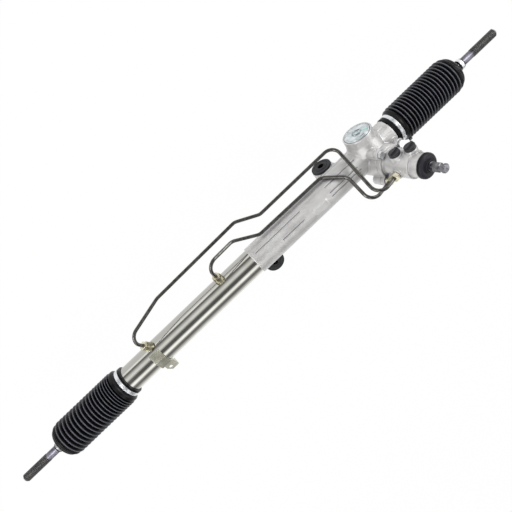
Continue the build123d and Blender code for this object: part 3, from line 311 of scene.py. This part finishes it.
def makePlugZinc():
    # blue-white zinc plate with the fitter's dab of mint paint, painted shade in its socket, and a dark patch
    # of painted shade at the staking notch
    look = {"light": "#E6EAEB", "dark": "#BAC4C8", "paint": "#7CC9B4", "stake": "#3A4044",
            "paintTurn": 142.0, "paintFrom": 9.8, "paintTo": 21.0, "paintWide": 1.5,
            "stakeTurn": 87.0, "stakeAt": 17.2, "stakeLong": 5.6, "stakeWide": 1.0, "face": -0.0478,
            "socketShade": "#7C8488", "socketShadeHalf": 5.2}
    mat, tree, shader, place = startMaterial("blueZincPlate", Roughness=0.3)
    cloud = addNode(tree, "ShaderNodeTexNoise", {"Vector": place, "Scale": 110.0, "Detail": 5.0})
    plate = addRamp(tree, cloud.outputs["Fac"], [(0.34, look["dark"]), (0.62, look["light"])])
    middle = rackCentre + Vector((gear["towerX"], look["face"], 0))
    facing = (0, -1, 0)
    turn = math.radians(look["paintTurn"])
    along = Vector((math.cos(turn), 0, math.sin(turn)))
    at = middle + along * (look["paintFrom"] + look["paintTo"]) / 2 * mm
    paint = patchMask(tree, place, at, along, facing, (look["paintTo"] - look["paintFrom"]) / 2,
                      look["paintWide"])
    # painted shade: a dark patch where the staking notch lies in shade
    turn = math.radians(look["stakeTurn"])
    outward = Vector((math.cos(turn), 0, math.sin(turn)))
    at = middle + outward * look["stakeAt"] * mm
    stake = patchMask(tree, place, at, (-outward.z, 0, outward.x), facing, look["stakeLong"],
                      look["stakeWide"])
    # painted shade: the socket's floor painted darker
    socketShade = patchMask(tree, place, middle, along, facing, look["socketShadeHalf"], look["socketShadeHalf"])
    colour = mixColours(tree, paint, plate, toLinear(look["paint"]))
    colour = mixColours(tree, stake, colour, toLinear(look["stake"]))
    colour = mixColours(tree, socketShade, colour, toLinear(look["socketShade"]))
    tree.links.new(colour, shader.inputs["Base Color"])
    tree.links.new(addMath(tree, "SUBTRACT", 1.0, paint), shader.inputs["Metallic"])
    varyRoughness(tree, shader, cloud, 0.22, 0.40)
    return mat


castAluminium = makeCastAluminium()
brightSteel = makeBrightSteel()
zincSteel = makeMetal("clearZincPlate", "#F0F1F2", "#D5D9DC", 0.26, 0.38, 45.0)
plugZinc = makePlugZinc()
yellowZinc = makeMetal("yellowZincPlate", "#E6E0CC", "#BDB69A", 0.24, 0.38, 80.0)
paleZinc = makeMetal("paleZincPlate", "#D3D2C3", "#BAB9A8", 0.32, 0.44, 30.0)
pipeSteel = makeMetal("darkCoatedPipe", "#6E6D6A", "#4C4B48", 0.10, 0.18, 140.0)
turnedSteel = makeMetal("turnedSteel", "#B9B9B8", "#8E8E8D", 0.24, 0.40, 160.0)
weldSteel = makeMetal("heatTintedSteel", "#A39F8A", "#6E6A58", 0.26, 0.42, 130.0)
bushSteel = makeMetal("phosphatedSteel", "#4A4A4C", "#2C2C2E", 0.40, 0.55, 120.0)
groundSteel = makeMetal("groundSteel", "#8E8E92", "#5A5A5E", 0.16, 0.28, 120.0)
forgedSteel = makeMetal("oiledForgedSteel", "#7A7978", "#6C6B6B", 0.46, 0.54, 60.0)
shankSteel = makeMetal("turnedForging", "#7C7A84", "#56545C", 0.26, 0.40, 90.0)
bootRubber = makeBootRubber()
coverRubber = makeCoverRubber()
bushRubber = makeRubber("mouldedBushRubber", "#101114", 0.50, 0.68, "#24262B")
blackPlastic = makeRubber("mouldedNylon", "#17171A", 0.36, 0.50, "#28282D")
whitePlastic = makeRubber("acetal", "#D9D6CC", 0.35, 0.45, "#E6E4DC")
print("materials made")


# ---------- pieces ----------
def keepPiece(name, bm, body, material, nodeNames=(), place=None, sharp=32, bevelWidth=0.0,
              closeUp=True):
    # turns a bmesh into a finished piece that rides on a body and stands for its CAD nodes
    if closeUp:
        bmesh.ops.remove_doubles(bm, verts=bm.verts, dist=0.000002)
        bmesh.ops.recalc_face_normals(bm, faces=bm.faces)
    if place is not None:
        bm.transform(place)
    for face in bm.faces:
        face.smooth = True
    for edge in bm.edges:
        edge.smooth = not (edge.is_manifold and edge.calc_face_angle(0) > math.radians(sharp))
    mesh = bpy.data.meshes.new(name)
    bm.to_mesh(mesh)
    bm.free()
    obj = bpy.data.objects.new(name, mesh)
    bpy.context.scene.collection.objects.link(obj)
    mesh.materials.append(material)
    if bevelWidth:
        edge = obj.modifiers.new("edges", "BEVEL")
        edge.width = bevelWidth * mm
        edge.segments = 2
        edge.limit_method = "ANGLE"
        edge.angle_limit = math.radians(sharp)
        edge.harden_normals = True
    if body:
        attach(obj, body)
    if nodeNames:
        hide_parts(*nodeNames)
    return obj


def cadCopy(name):
    bm = bmesh.new()
    bm.from_mesh(nodes[name].data)
    bmesh.ops.remove_doubles(bm, verts=bm.verts, dist=0.000002)
    return bm


def applyAll(obj):
    graph = bpy.context.evaluated_depsgraph_get()
    baked = bpy.data.meshes.new_from_object(obj.evaluated_get(graph))
    obj.modifiers.clear()
    obj.data = baked


def joinMesh(bm, extra):
    # adds one bmesh to another and frees it
    holder = bpy.data.meshes.new("holder")
    extra.to_mesh(holder)
    extra.free()
    bm.from_mesh(holder)
    bpy.data.meshes.remove(holder)


def cutAway(bm, point, normal, outer):
    # cuts across and closes the cut with a ring of faces; outer drops the side the normal points to
    geom = bm.verts[:] + bm.edges[:] + bm.faces[:]
    bmesh.ops.bisect_plane(bm, geom=geom, plane_co=point, plane_no=normal, clear_outer=outer,
                           clear_inner=not outer)
    rims = [edge for edge in bm.edges if edge.is_boundary]
    bmesh.ops.bridge_loops(bm, edges=rims)


def profileSpin(points, steps):
    # points are (radius, height) in mm, spun about local Z
    bm = bmesh.new()
    verts = [bm.verts.new((r * mm, 0, h * mm)) for r, h in points]
    edges = [bm.edges.new(pair) for pair in zip(verts, verts[1:])]
    bmesh.ops.spin(bm, geom=verts + edges, cent=(0, 0, 0), axis=(0, 0, 1), angle=math.tau,
                   steps=steps, use_merge=True, use_duplicate=False)
    bmesh.ops.remove_doubles(bm, verts=bm.verts, dist=0.000002)
    return bm


def castSkin(name, node, voxel, ease):
    # the casting's machined form with cast fillets grown into its corners
    bm = cadCopy(node)
    obj = keepPiece(name, bm, "root", castAluminium, (node,), closeUp=False)
    grow = obj.modifiers.new("skin", "REMESH")
    grow.mode = "VOXEL"
    grow.voxel_size = voxel * mm
    grow.use_smooth_shade = True
    soften = obj.modifiers.new("fillets", "SMOOTH")
    soften.factor = 0.5
    soften.iterations = ease
    applyAll(obj)
    print(name, len(obj.data.polygons), "faces")


casting = {"voxel": 1.05, "ease": 3, "valveVoxel": 0.8, "valveEase": 4}
castSkin("rackHousing", "rack_housing", casting["voxel"], casting["ease"])
castSkin("valveHousing", "valve_housing", casting["valveVoxel"], casting["valveEase"])
print("castings made")


# ---------- bellows ----------
boot = {
    "beadR": 28.9, "cuffR": 28.0, "clampAt": 334.5, "clampWidth": 7.0,
    "shoulderR": 34.0, "crestR": 35.3, "rootR": 30.2,
    "crestSteps": 10, "domeSteps": 10, "broad": 0.8, "lastCrestR": 33.6,
    "endR": 20.0, "neckEnd": 508.0, "neckR": 9.7, "wall": 1.6, "bore": 8.0,
    "seatR": 25.2, "bodyEnd": 345.0, "around": 96,
}
# each boot as it stands with the rack in the middle: its lip, folds, first and last crest, closed
# end, and how far apart its crests are at the cuff, half way and at the closed end
bootRun = {"cylinder_side": {"lip": 326.5, "folds": 19, "first": 351.6, "last": 484.0, "end": 494.0,
                             "pitches": (4.6, 7.9, 8.0)},
           "pinion_side": {"lip": 324.0, "folds": 19, "first": 350.4, "last": 475.0, "end": 487.5,
                           "pitches": (7.2, 6.5, 7.8)}}


def crestPlaces(run):
    atCuff, halfWay, atEnd = run["pitches"]
    gaps = []
    for fold in range(run["folds"] - 1):
        t = (fold + 0.5) / (run["folds"] - 1)
        gaps.append(atCuff * (1 - t) * (1 - 2 * t) + 4 * halfWay * t * (1 - t) + atEnd * t * (2 * t - 1))
    fit = (run["last"] - run["first"]) / sum(gaps)
    places = [run["first"]]
    for gap in gaps:
        places.append(places[-1] + gap * fit)
    return places


def bootOutside(side):
    lip = bootRun[side]["lip"]
    end = bootRun[side]["end"]
    low = boot["clampAt"] - boot["clampWidth"] / 2
    high = boot["clampAt"] + boot["clampWidth"] / 2
    points = [(boot["seatR"], lip), (boot["beadR"] - 0.5, lip),
              (boot["beadR"], lip + 0.6), (boot["beadR"], lip + 2.0),
              (boot["cuffR"] - 0.2, lip + 2.7), (boot["beadR"] - 0.3, lip + 3.4),
              (boot["beadR"] - 0.3, low - 0.7), (boot["cuffR"], low - 0.3), (boot["cuffR"], high + 0.2),
              (boot["cuffR"] + 1.4, high + 0.8), (boot["shoulderR"] - 0.5, high + 4.0),
              (boot["shoulderR"], high + 5.2)]
    places = crestPlaces(bootRun[side])
    edges = [places[0] - (places[1] - places[0]) / 2]
    edges += [(one + two) / 2 for one, two in zip(places, places[1:])]
    edges.append(places[-1] + (places[-1] - places[-2]) / 2)
    points.append((boot["shoulderR"], edges[0] - 1.4))
    for fold, (start, stop) in enumerate(zip(edges, edges[1:])):
        crest = boot["lastCrestR"] if fold == bootRun[side]["folds"] - 1 else boot["crestR"]
        for step in range(boot["crestSteps"]):
            phase = step / boot["crestSteps"]
            lift = (0.5 - 0.5 * math.cos(math.tau * phase)) ** boot["broad"]
            points.append((boot["rootR"] + (crest - boot["rootR"]) * lift, start + phase * (stop - start)))
    # closed end: one more rounded step, then the face
    domeLow = edges[-1]
    domeR = boot["rootR"] + 0.6
    for step in range(boot["domeSteps"] + 1):
        turn = math.radians(90) * step / boot["domeSteps"]
        points.append((boot["endR"] + (domeR - boot["endR"]) * math.cos(turn),
                       domeLow + (end - 1.0 - domeLow) * math.sin(turn)))
    points += [(boot["neckR"] + 2.4, end - 0.8), (boot["neckR"] + 0.6, end),
               (boot["neckR"], end + 1.2), (boot["neckR"], boot["neckEnd"] - 0.8),
               (boot["neckR"] - 0.6, boot["neckEnd"])]
    return points


def bootInside(side):
    last = bootRun[side]["last"]
    end = bootRun[side]["end"]
    return [(boot["bore"], boot["neckEnd"]), (boot["bore"], end - boot["wall"] - 0.8),
            (boot["endR"] - 1.0, end - boot["wall"] - 1.2),
            (boot["rootR"] - boot["wall"] - 2.0, last + 3.0), (boot["rootR"] - boot["wall"], last - 2.0),
            (boot["rootR"] - boot["wall"], boot["bodyEnd"] + 2.0), (boot["seatR"], boot["bodyEnd"])]


def makeBoot(side, end):
    outside = bootOutside(side)
    bm = profileSpin(outside + bootInside(side) + outside[:1], boot["around"])
    bmesh.ops.recalc_face_normals(bm, faces=bm.faces)
    place = alongRack(end)
    run = bootRun[side]
    split = run["last"] + (run["last"] - crestPlaces(run)[-2]) / 2 + 0.02
    # the bellows and their closed end are cut apart into two pieces
    outer = bm.copy()
    cutAway(outer, (0, 0, split * mm), (0, 0, 1), False)
    cutAway(bm, (0, 0, split * mm), (0, 0, 1), True)
    if end < 0:
        addNipple(bm)
    bellows = keepPiece(side.replace("_side", "Side") + "Bellows", bm, None, bootRubber,
                        (side + "_boot",), place, sharp=50, closeUp=False)
    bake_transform(bellows)
    cap = keepPiece(side.replace("_side", "Side") + "BellowsEnd", outer, None, bootRubber,
                    (), place, sharp=50, closeUp=False)
    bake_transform(cap)


nipple = {"at": 345.0, "r": 3.2, "reach": 10.0, "root": 28.0, "up": 0.6, "back": 0.8, "boreDepth": 6.0,
          "around": 24}


def addNipple(bm):
    # moulded breather spout on the pinion side, in the boot's own frame (local X is -Y there)
    reach = nipple["root"] + nipple["reach"]
    r = nipple["r"]
    points = [(0, nipple["root"]), (r + 1.6, nipple["root"] + 1.0), (r, nipple["root"] + 3.6),
              (r, reach - 2.6), (r + 0.7, reach - 2.2), (r - 0.4, reach), (r - 1.4, reach),
              (r - 1.4, reach - nipple["boreDepth"]), (0, reach - nipple["boreDepth"])]
    spout = profileSpin(points, nipple["around"])
    away = Vector((-nipple["back"], nipple["up"], 0))
    turn = away.to_track_quat("Z", "Y").to_matrix().to_4x4()
    spout.transform(Matrix.Translation((0, 0, nipple["at"] * mm)) @ turn)
    bmesh.ops.recalc_face_normals(spout, faces=spout.faces)
    joinMesh(bm, spout)


# ---------- boot clamps ----------
clamp = {"inner": 28.1, "outer": 29.1, "ridge": 29.6, "ridgeHalf": 0.7, "earTurn": 110.0, "earTall": 5.0,
         "earWide": 7.0, "earThick": 3.2, "earRound": 1.2, "around": 96}


def makeClamp(side, end):
    # pressed band with a raised bead along each edge, drawn tight by a crimped ear
    low = boot["clampAt"] - boot["clampWidth"] / 2
    high = boot["clampAt"] + boot["clampWidth"] / 2
    bead = 2 * clamp["ridgeHalf"]
    points = [(clamp["inner"], low), (clamp["outer"], low), (clamp["ridge"], low + 0.35),
              (clamp["ridge"], low + bead - 0.2), (clamp["outer"], low + bead + 0.3),
              (clamp["outer"], high - bead - 0.3), (clamp["ridge"], high - bead + 0.2),
              (clamp["ridge"], high - 0.35), (clamp["outer"], high), (clamp["inner"], high),
              (clamp["inner"], low)]
    bm = profileSpin(points, clamp["around"])
    turn = math.radians(clamp["earTurn"])
    ear = bmesh.new()
    spot = Matrix.Rotation(turn, 4, "Z") @ Matrix.Translation(
        ((clamp["outer"] + clamp["earTall"] / 2 - 0.4) * mm, 0, boot["clampAt"] * mm))
    size = Matrix.Diagonal((clamp["earTall"] * mm, clamp["earWide"] * mm, clamp["earThick"] * mm, 1.0))
    bmesh.ops.create_cube(ear, size=1.0, matrix=spot @ size)
    bmesh.ops.bevel(ear, geom=ear.edges[:], offset=clamp["earRound"] * mm, affect="EDGES", segments=4,
                    profile=0.5, material=-1)
    joinMesh(bm, ear)
    keepPiece(side.replace("_side", "Side") + "BootClamp", bm, "root", zincSteel,
              (side + "_boot_clamp",), alongRack(end))


for side, end in (("cylinder_side", 1), ("pinion_side", -1)):
    makeBoot(side, end)
    makeClamp(side, end)
print("bellows and clamps made")


# ---------- tie rods ----------
tie = {
    "ballAt": 442.0, "ballR": 12.0, "shankR": 7.6, "threadStart": 530.0, "tip": 589.0,
    "majorR": 8.0, "minorR": 7.05, "pitch": 1.5, "grooveAt": 501.0, "grooveHalf": 2.6,
    "grooveDepth": 0.8, "turnSteps": 30, "chamfer": 1.6, "ballTurn": 50.7, "ballSteps": 16,
    "around": 48,
}


def makeThread():
    # one open V profile carried round and up, a pitch a turn, a hair inside the outer diameter
    bm = bmesh.new()
    rise = tie["pitch"]
    crest = tie["majorR"] - 0.02
    start = tie["threadStart"] + 1.0
    shape = [(tie["minorR"], 0), (tie["minorR"], 0.15), (crest, 0.42), (crest, 0.62), (tie["minorR"], 0.9),
             (tie["minorR"], 1.0)]
    verts = [bm.verts.new((r * mm, 0, (start + h * rise) * mm)) for r, h in shape]
    edges = [bm.edges.new(pair) for pair in zip(verts, verts[1:])]
    turns = int((tie["tip"] - start - rise) / rise)
    steps = turns * tie["turnSteps"]
    bmesh.ops.spin(bm, geom=verts + edges, cent=(0, 0, 0), axis=(0, 0, 1), angle=math.tau * turns,
                   steps=steps, dvec=(0, 0, rise * mm / tie["turnSteps"]), use_merge=False,
                   use_duplicate=False)
    bmesh.ops.remove_doubles(bm, verts=bm.verts, dist=0.000004)
    return bm


def makeTieRod(side, end):
    # ball and forged shank with its boot groove, then the rolled thread
    low = tie["grooveAt"] - tie["grooveHalf"]
    high = tie["grooveAt"] + tie["grooveHalf"]
    neck = tie["shankR"] - tie["grooveDepth"]
    points = []
    for step in range(tie["ballSteps"] + 1):
        turn = math.radians(-90 + (90 + tie["ballTurn"]) * step / tie["ballSteps"])
        points.append((max(0.0, tie["ballR"] * math.cos(turn)),
                       tie["ballAt"] + tie["ballR"] * math.sin(turn)))
    points += [(tie["shankR"], low - 0.4), (neck, low), (neck, high), (tie["shankR"], high + 0.4),
               (tie["shankR"], tie["threadStart"] - 1.0), (tie["minorR"], tie["threadStart"] + 0.6),
               (tie["minorR"], tie["tip"] - tie["chamfer"]),
               (tie["minorR"] - tie["chamfer"] + 0.3, tie["tip"]), (0, tie["tip"])]
    bm = profileSpin(points, tie["around"])
    place = alongRack(end)
    name = side.replace("_side", "Side")
    keepPiece(name + "TieRod", bm, side + "_tie_rod", shankSteel, (side + "_tie_rod",), place)
    keepPiece(name + "TieThread", makeThread(), side + "_tie_rod", forgedSteel, (), place,
              sharp=25)


for side, end in (("cylinder_side", 1), ("pinion_side", -1)):
    makeTieRod(side, end)
print("tie rods made")


# ---------- pieces that keep their CAD form, with broken edges ----------
def dress(node, body, material, bevelWidth=0.3, sharp=32, flatten=0.4):
    # faces within the flatten angle become one, so that a bevel runs along true edges only
    bm = cadCopy(node)
    if flatten:
        bmesh.ops.dissolve_limit(bm, angle_limit=math.radians(flatten), verts=bm.verts, edges=bm.edges)
    words = node.split("_")
    name = words[0] + "".join(word.capitalize() for word in words[1:])
    keepPiece(name, bm, body, material, (node,), sharp=sharp, bevelWidth=bevelWidth, closeUp=False)


dress("cylinder_tube", "root", brightSteel, 0.4)
dress("tube_bracket", "root", paleZinc, 0.45)
for line in ("outer", "inner"):
    dress(line + "_tube_port", "root", weldSteel, 0.35)
for line in ("outer", "inner"):
    dress(line + "_fluid_line", "root", pipeSteel, 0.0, sharp=40, flatten=0)
dress("flare_nuts", "root", yellowZinc, 0.5)
dress("flange_bolts", "root", zincSteel, 0.35)
for port in ("upper", "lower"):
    dress(port + "_port_plug", "root", blackPlastic, 0.6)
dress("pinion_bore_cap", "root", zincSteel, 0.5)
dress("dust_cover", "root", coverRubber, 0.5, sharp=50)
dress("cylinder_side_boot_clip", "cylinder_side_tie_rod", turnedSteel, 0.2)
dress("pinion_side_boot_clip", "pinion_side_tie_rod", zincSteel, 0.2)
for eye in ("pinion", "centre"):
    dress(eye + "_bush_sleeve", "root", bushSteel, 0.4)
print("fittings dressed")

# ---------- rack guide plug ----------
plug = {"back": 36.5, "face": 47.8, "r": 24.3, "chamfer": 0.6, "grooveOut": 22.6, "grooveIn": 20.9,
        "grooveDepth": 0.7, "socketFlats": 18.0, "socketDepth": 5.0, "around": 72}


def makeGuidePlug():
    # threaded cap with a ring groove near its rim and a hexagon socket
    face = plug["face"]
    floor = face - plug["grooveDepth"]
    points = [(0, plug["back"]), (plug["r"], plug["back"]), (plug["r"], face - plug["chamfer"]),
              (plug["r"] - plug["chamfer"], face), (plug["grooveOut"] + 0.2, face),
              (plug["grooveOut"], floor), (plug["grooveIn"], floor), (plug["grooveIn"] - 0.2, face)]
    bm = profileSpin(points, plug["around"])
    for depth in (0, plug["socketDepth"]):
        rim = [edge for edge in bm.edges if edge.is_boundary]
        made = bmesh.ops.extrude_edge_only(bm, edges=rim)
        fresh = [item for item in made["geom"] if isinstance(item, bmesh.types.BMVert)]
        for vert in fresh:
            # out to the hexagon's side, whose middle is the nearest whole sixth of a turn
            turn = math.atan2(vert.co.y, vert.co.x)
            fold = (turn + math.radians(30)) % math.radians(60) - math.radians(30)
            reach = plug["socketFlats"] / 2 / math.cos(fold) * mm
            vert.co = (reach * math.cos(turn), reach * math.sin(turn), (face - depth) * mm)
    rim = [edge for edge in bm.edges if edge.is_boundary]
    bmesh.ops.edgeloop_fill(bm, edges=rim)
    place = axesMatrix(rackCentre + Vector((gear["towerX"], 0, 0)), (1, 0, 0), (0, -1, 0))
    keepPiece("rackGuidePlug", bm, "root", plugZinc, ("rack_guide_plug",), place, sharp=25)


makeGuidePlug()

# ---------- bushes ----------
bush = {
    "half": 20.0, "flangeR": 19.8, "flangeBack": 16.0, "bodyR": 16.0, "bore": 9.02, "lip": 11.2,
    "dipIn": 12.4, "dipOut": 14.8, "ring": 16.2, "dip": 1.1, "around": 64,
    "places": {"pinion": ((-198.0, 0, -45.0), (1, 0, 0), (0, -1, 0)),
               "centre": ((-13.0, 45.0, -34.0), (-1, 0, 0), (0, 0, 1))},
}


def makeBush(eye):
    # two flanged rubber halves with a moulded ring round the sleeve
    half = bush["half"]
    side = [(bush["bore"], half), (bush["lip"], half), (bush["dipIn"], half - bush["dip"]),
            (bush["dipOut"], half - bush["dip"]), (bush["ring"], half), (bush["flangeR"] - 1.0, half),
            (bush["flangeR"] - 0.3, half - 0.35), (bush["flangeR"], half - 1.1),
            (bush["flangeR"], bush["flangeBack"]), (bush["bodyR"], bush["flangeBack"])]
    points = side + [(r, -h) for r, h in reversed(side)] + side[:1]
    bm = profileSpin(points, bush["around"])
    spot, xAxis, zAxis = bush["places"][eye]
    keepPiece(eye + "BushRubber", bm, "root", bushRubber, (eye + "_bush_rubber",),
              axesMatrix(rackCentre + Vector(spot) * mm, xAxis, zAxis), sharp=40)


for eye in ("pinion", "centre"):
    makeBush(eye)

# ---------- input shaft ----------
stem = {
    "cut": 126.0, "boreR": 3.6, "boreEnd": 150.0, "footR": 9.0, "neckStart": 132.6, "neckR": 5.8,
    "splineStart": 137.5, "splineR": 8.0, "grooveAt": 152.0, "grooveHalf": 2.6, "grooveDepth": 1.6,
    "tip": 160.0, "chamfer": 1.6, "overlap": 1.0, "teeth": 24, "toothDepth": 0.6, "perTooth": 4,
    "centreR": 1.8, "centreDepth": 2.5,
}


def makeInputShaft():
    # turned neck, then a serrated end with the clamp bolt's groove
    low = stem["grooveAt"] - stem["grooveHalf"]
    high = stem["grooveAt"] + stem["grooveHalf"]
    r = stem["splineR"]
    dip = r - stem["grooveDepth"]
    foot = stem["cut"] - stem["overlap"]
    spline = stem["splineStart"]
    tip = stem["tip"]
    points = [(0, stem["boreEnd"]), (stem["boreR"], stem["boreEnd"]), (stem["boreR"], foot),
              (stem["footR"], foot), (stem["footR"], stem["neckStart"]),
              (stem["neckR"], stem["neckStart"] + 1.0), (stem["neckR"], spline - 1.4),
              (r - 0.6, spline), (r, spline + 0.6), (r, low - 0.6), (dip, low + 0.6),
              (dip, high - 0.6), (r, high + 0.6), (r, tip - stem["chamfer"]),
              (r - stem["chamfer"], tip), (stem["centreR"], tip), (0, tip - stem["centreDepth"])]
    around = stem["teeth"] * stem["perTooth"]
    bm = profileSpin(points, around)
    for vert in bm.verts:
        away = math.hypot(vert.co.x, vert.co.y)
        if vert.co.z > (spline + 0.3) * mm and away > dip * mm + 0.00005:
            step = round(math.atan2(vert.co.y, vert.co.x) / math.tau * around) % stem["perTooth"]
            if step >= stem["perTooth"] // 2:
                shrink = 1 - stem["toothDepth"] * mm / away
                vert.co.x *= shrink
                vert.co.y *= shrink
    bm.transform(towerPlace)
    # the spool below is the CAD's own
    spool = cadCopy("input_shaft")
    cutAway(spool, towerPlace @ Vector((0, 0, stem["cut"] * mm)), towerUp, True)
    joinMesh(bm, spool)
    keepPiece("inputShaft", bm, "input", groundSteel, ("input_shaft",), sharp=28)


makeInputShaft()
print("plug, bushes and input shaft made")

# inner pieces: right as they stand, seen only when it is taken apart
inner = {
    "turned_steel": turnedSteel, "ground_steel": groundSteel, "seal_rubber": bushRubber,
    "white_plastic": whitePlastic, "cast_aluminium": castAluminium, "bright_steel": brightSteel,
    "zinc_steel": zincSteel, "yellow_zinc": yellowZinc, "forged_steel": forgedSteel,
    "black_plastic": blackPlastic, "boot_rubber": bootRubber, "bush_rubber": bushRubber,
    "pipe_steel": pipeSteel,
}
for obj in nodes.values():
    for held in obj.material_slots:
        held.material = inner[held.material.name.split(".")[0]]
print("inner pieces finished")


# ---------- stage ----------
stage = {"floor": "#F4F4F4", "rough": 0.9, "glow": "#FFFFFF", "glowShare": 0.97, "size": 9.0,
         "middleX": 0.2, "drop": 0.07}


def makeFloor():
    # pale floor: reads as white to the eye and in reflections, still takes a soft shadow
    mat = bpy.data.materials.new("paleFloor")
    mat.use_nodes = True
    tree = mat.node_tree
    shader = tree.nodes["Principled BSDF"]
    shader.inputs["Base Color"].default_value = toLinear(stage["floor"])
    shader.inputs["Roughness"].default_value = stage["rough"]
    glow = addNode(tree, "ShaderNodeEmission", {"Color": toLinear(stage["glow"]), "Strength": 1.0})
    rays = addNode(tree, "ShaderNodeLightPath").outputs
    seen = addMath(tree, "MAXIMUM", rays["Is Camera Ray"], rays["Is Glossy Ray"])
    seen = addMath(tree, "MAXIMUM", seen, rays["Is Transmission Ray"])
    share = addMath(tree, "MULTIPLY", seen, stage["glowShare"])
    mix = addNode(tree, "ShaderNodeMixShader", {"Fac": share, 1: shader.outputs[0], 2: glow.outputs[0]})
    tree.links.new(mix.outputs[0], tree.nodes["Material Output"].inputs["Surface"])
    bm = bmesh.new()
    bmesh.ops.create_grid(bm, x_segments=1, y_segments=1, size=stage["size"] / 2)
    bmesh.ops.translate(bm, verts=bm.verts, vec=(stage["middleX"], 0, cadBox[0][2] - stage["drop"]))
    mesh = bpy.data.meshes.new("floor")
    bm.to_mesh(mesh)
    bm.free()
    floor = bpy.data.objects.new("floor", mesh)
    bpy.context.scene.collection.objects.link(floor)
    mesh.materials.append(mat)


makeFloor()

# a dim room with panels of light that run along the rack: where each panel starts, is full, begins
# to fade and is gone, in degrees from straight up towards the back, and how bright it is
studio = {
    "room": 0.10,
    "panels": {"key": (-6, 16, 21, 39, 1.20), "keySpill": (26, 32, 40, 54, 0.15),
               "fill": (-86, -46, -45, -22, 0.76), "backWall": (46, 92, 181, 182, 0.59),
               "frontWall": (-182, -181, -93, -85, 0.38), "skirting": (-182, -181, -88, -77, 0.05)},
    "ends": 0.5, "endStart": 0.36, "endFull": 0.5,
    "hoopAt": 0.64, "hoopFull": 0.06, "hoopGone": 0.12, "hoopLevel": 2.2,
    "hoopTurn": -35, "hoopTurnFull": 75, "hoopTurnGone": 110,
}


def makeStudio():
    world = bpy.data.worlds.new("studio")
    bpy.context.scene.world = world
    world.use_nodes = True
    tree = world.node_tree
    way = addNode(tree, "ShaderNodeTexCoord")
    axes = addNode(tree, "ShaderNodeSeparateXYZ", {0: way.outputs["Generated"]})
    turn = addMath(tree, "DEGREES", addMath(tree, "ARCTAN2", axes.outputs["Y"], axes.outputs["Z"]))
    light = studio["room"]
    for start, full, fading, gone, level in studio["panels"].values():
        share = addMath(tree, "MULTIPLY", addFade(tree, turn, start, full), addFade(tree, turn, gone, fading))
        light = addMath(tree, "MULTIPLY_ADD", share, level, light)
    # the panels stop short of the rack's ends
    across = addMath(tree, "ABSOLUTE", axes.outputs["X"])
    toEnds = addFade(tree, across, studio["endStart"], studio["endFull"])
    light = addNode(tree, "ShaderNodeMix", {"Factor": toEnds, 2: light, 3: studio["ends"]}).outputs[0]
    # a hoop of light round either end, on the front side: it draws the line along each fold's crest
    offHoop = addMath(tree, "ABSOLUTE", addMath(tree, "SUBTRACT", across, studio["hoopAt"]))
    aside = addMath(tree, "ABSOLUTE", addMath(tree, "SUBTRACT", turn, studio["hoopTurn"]))
    hoop = addMath(tree, "MULTIPLY", addFade(tree, offHoop, studio["hoopGone"], studio["hoopFull"]),
                   addFade(tree, aside, studio["hoopTurnGone"], studio["hoopTurnFull"]))
    light = addMath(tree, "MULTIPLY_ADD", hoop, studio["hoopLevel"], light)
    tree.links.new(light, tree.nodes["Background"].inputs["Color"])


makeStudio()

# ---------- camera and lamps ----------
# it aims a few mm from the rack's centre
viewer = {"aim": (6, -3.3, -2.3), "distance": 0.850, "focal": 32.8, "roll": 43.65,
          "toward": (0, -0.574, 0.819), "right": (-1, 0, 0)}
aim = rackCentre + Vector(viewer["aim"]) * mm
back = Vector(viewer["toward"]).normalized()
level = Vector(viewer["right"])
upright = back.cross(level)
roll = math.radians(viewer["roll"])
camRight = math.cos(roll) * level - math.sin(roll) * upright
camUp = math.sin(roll) * level + math.cos(roll) * upright
lens = bpy.data.cameras.new("camera")
lens.sensor_width = 36
lens.lens = viewer["focal"]
lens.clip_start = 0.05
lens.clip_end = 50
camera = bpy.data.objects.new("camera", lens)
camera.matrix_world = Matrix.Translation(aim + back * viewer["distance"]) @ Matrix(
    (camRight, camUp, back)).transposed().to_4x4()
bpy.context.scene.collection.objects.link(camera)
bpy.context.scene.camera = camera
bpy.context.scene.view_settings.view_transform = "Standard"

lamps = {"out": 1.7, "front": 0.7, "up": 1.1, "long": 0.9, "tall": 0.5, "power": 10.0}


def addLamp(name, end):
    light = bpy.data.lights.new(name, "AREA")
    light.shape = "RECTANGLE"
    light.size = lamps["long"]
    light.size_y = lamps["tall"]
    light.energy = lamps["power"]
    lamp = bpy.data.objects.new(name, light)
    lamp.location = aim + Vector((end * lamps["out"], -lamps["front"], lamps["up"]))
    lamp.rotation_euler = (aim - lamp.location).to_track_quat("-Z", "Y").to_euler()
    bpy.context.scene.collection.objects.link(lamp)


addLamp("endLampA", 1)
addLamp("endLampB", -1)
print("stage made")

print("done")
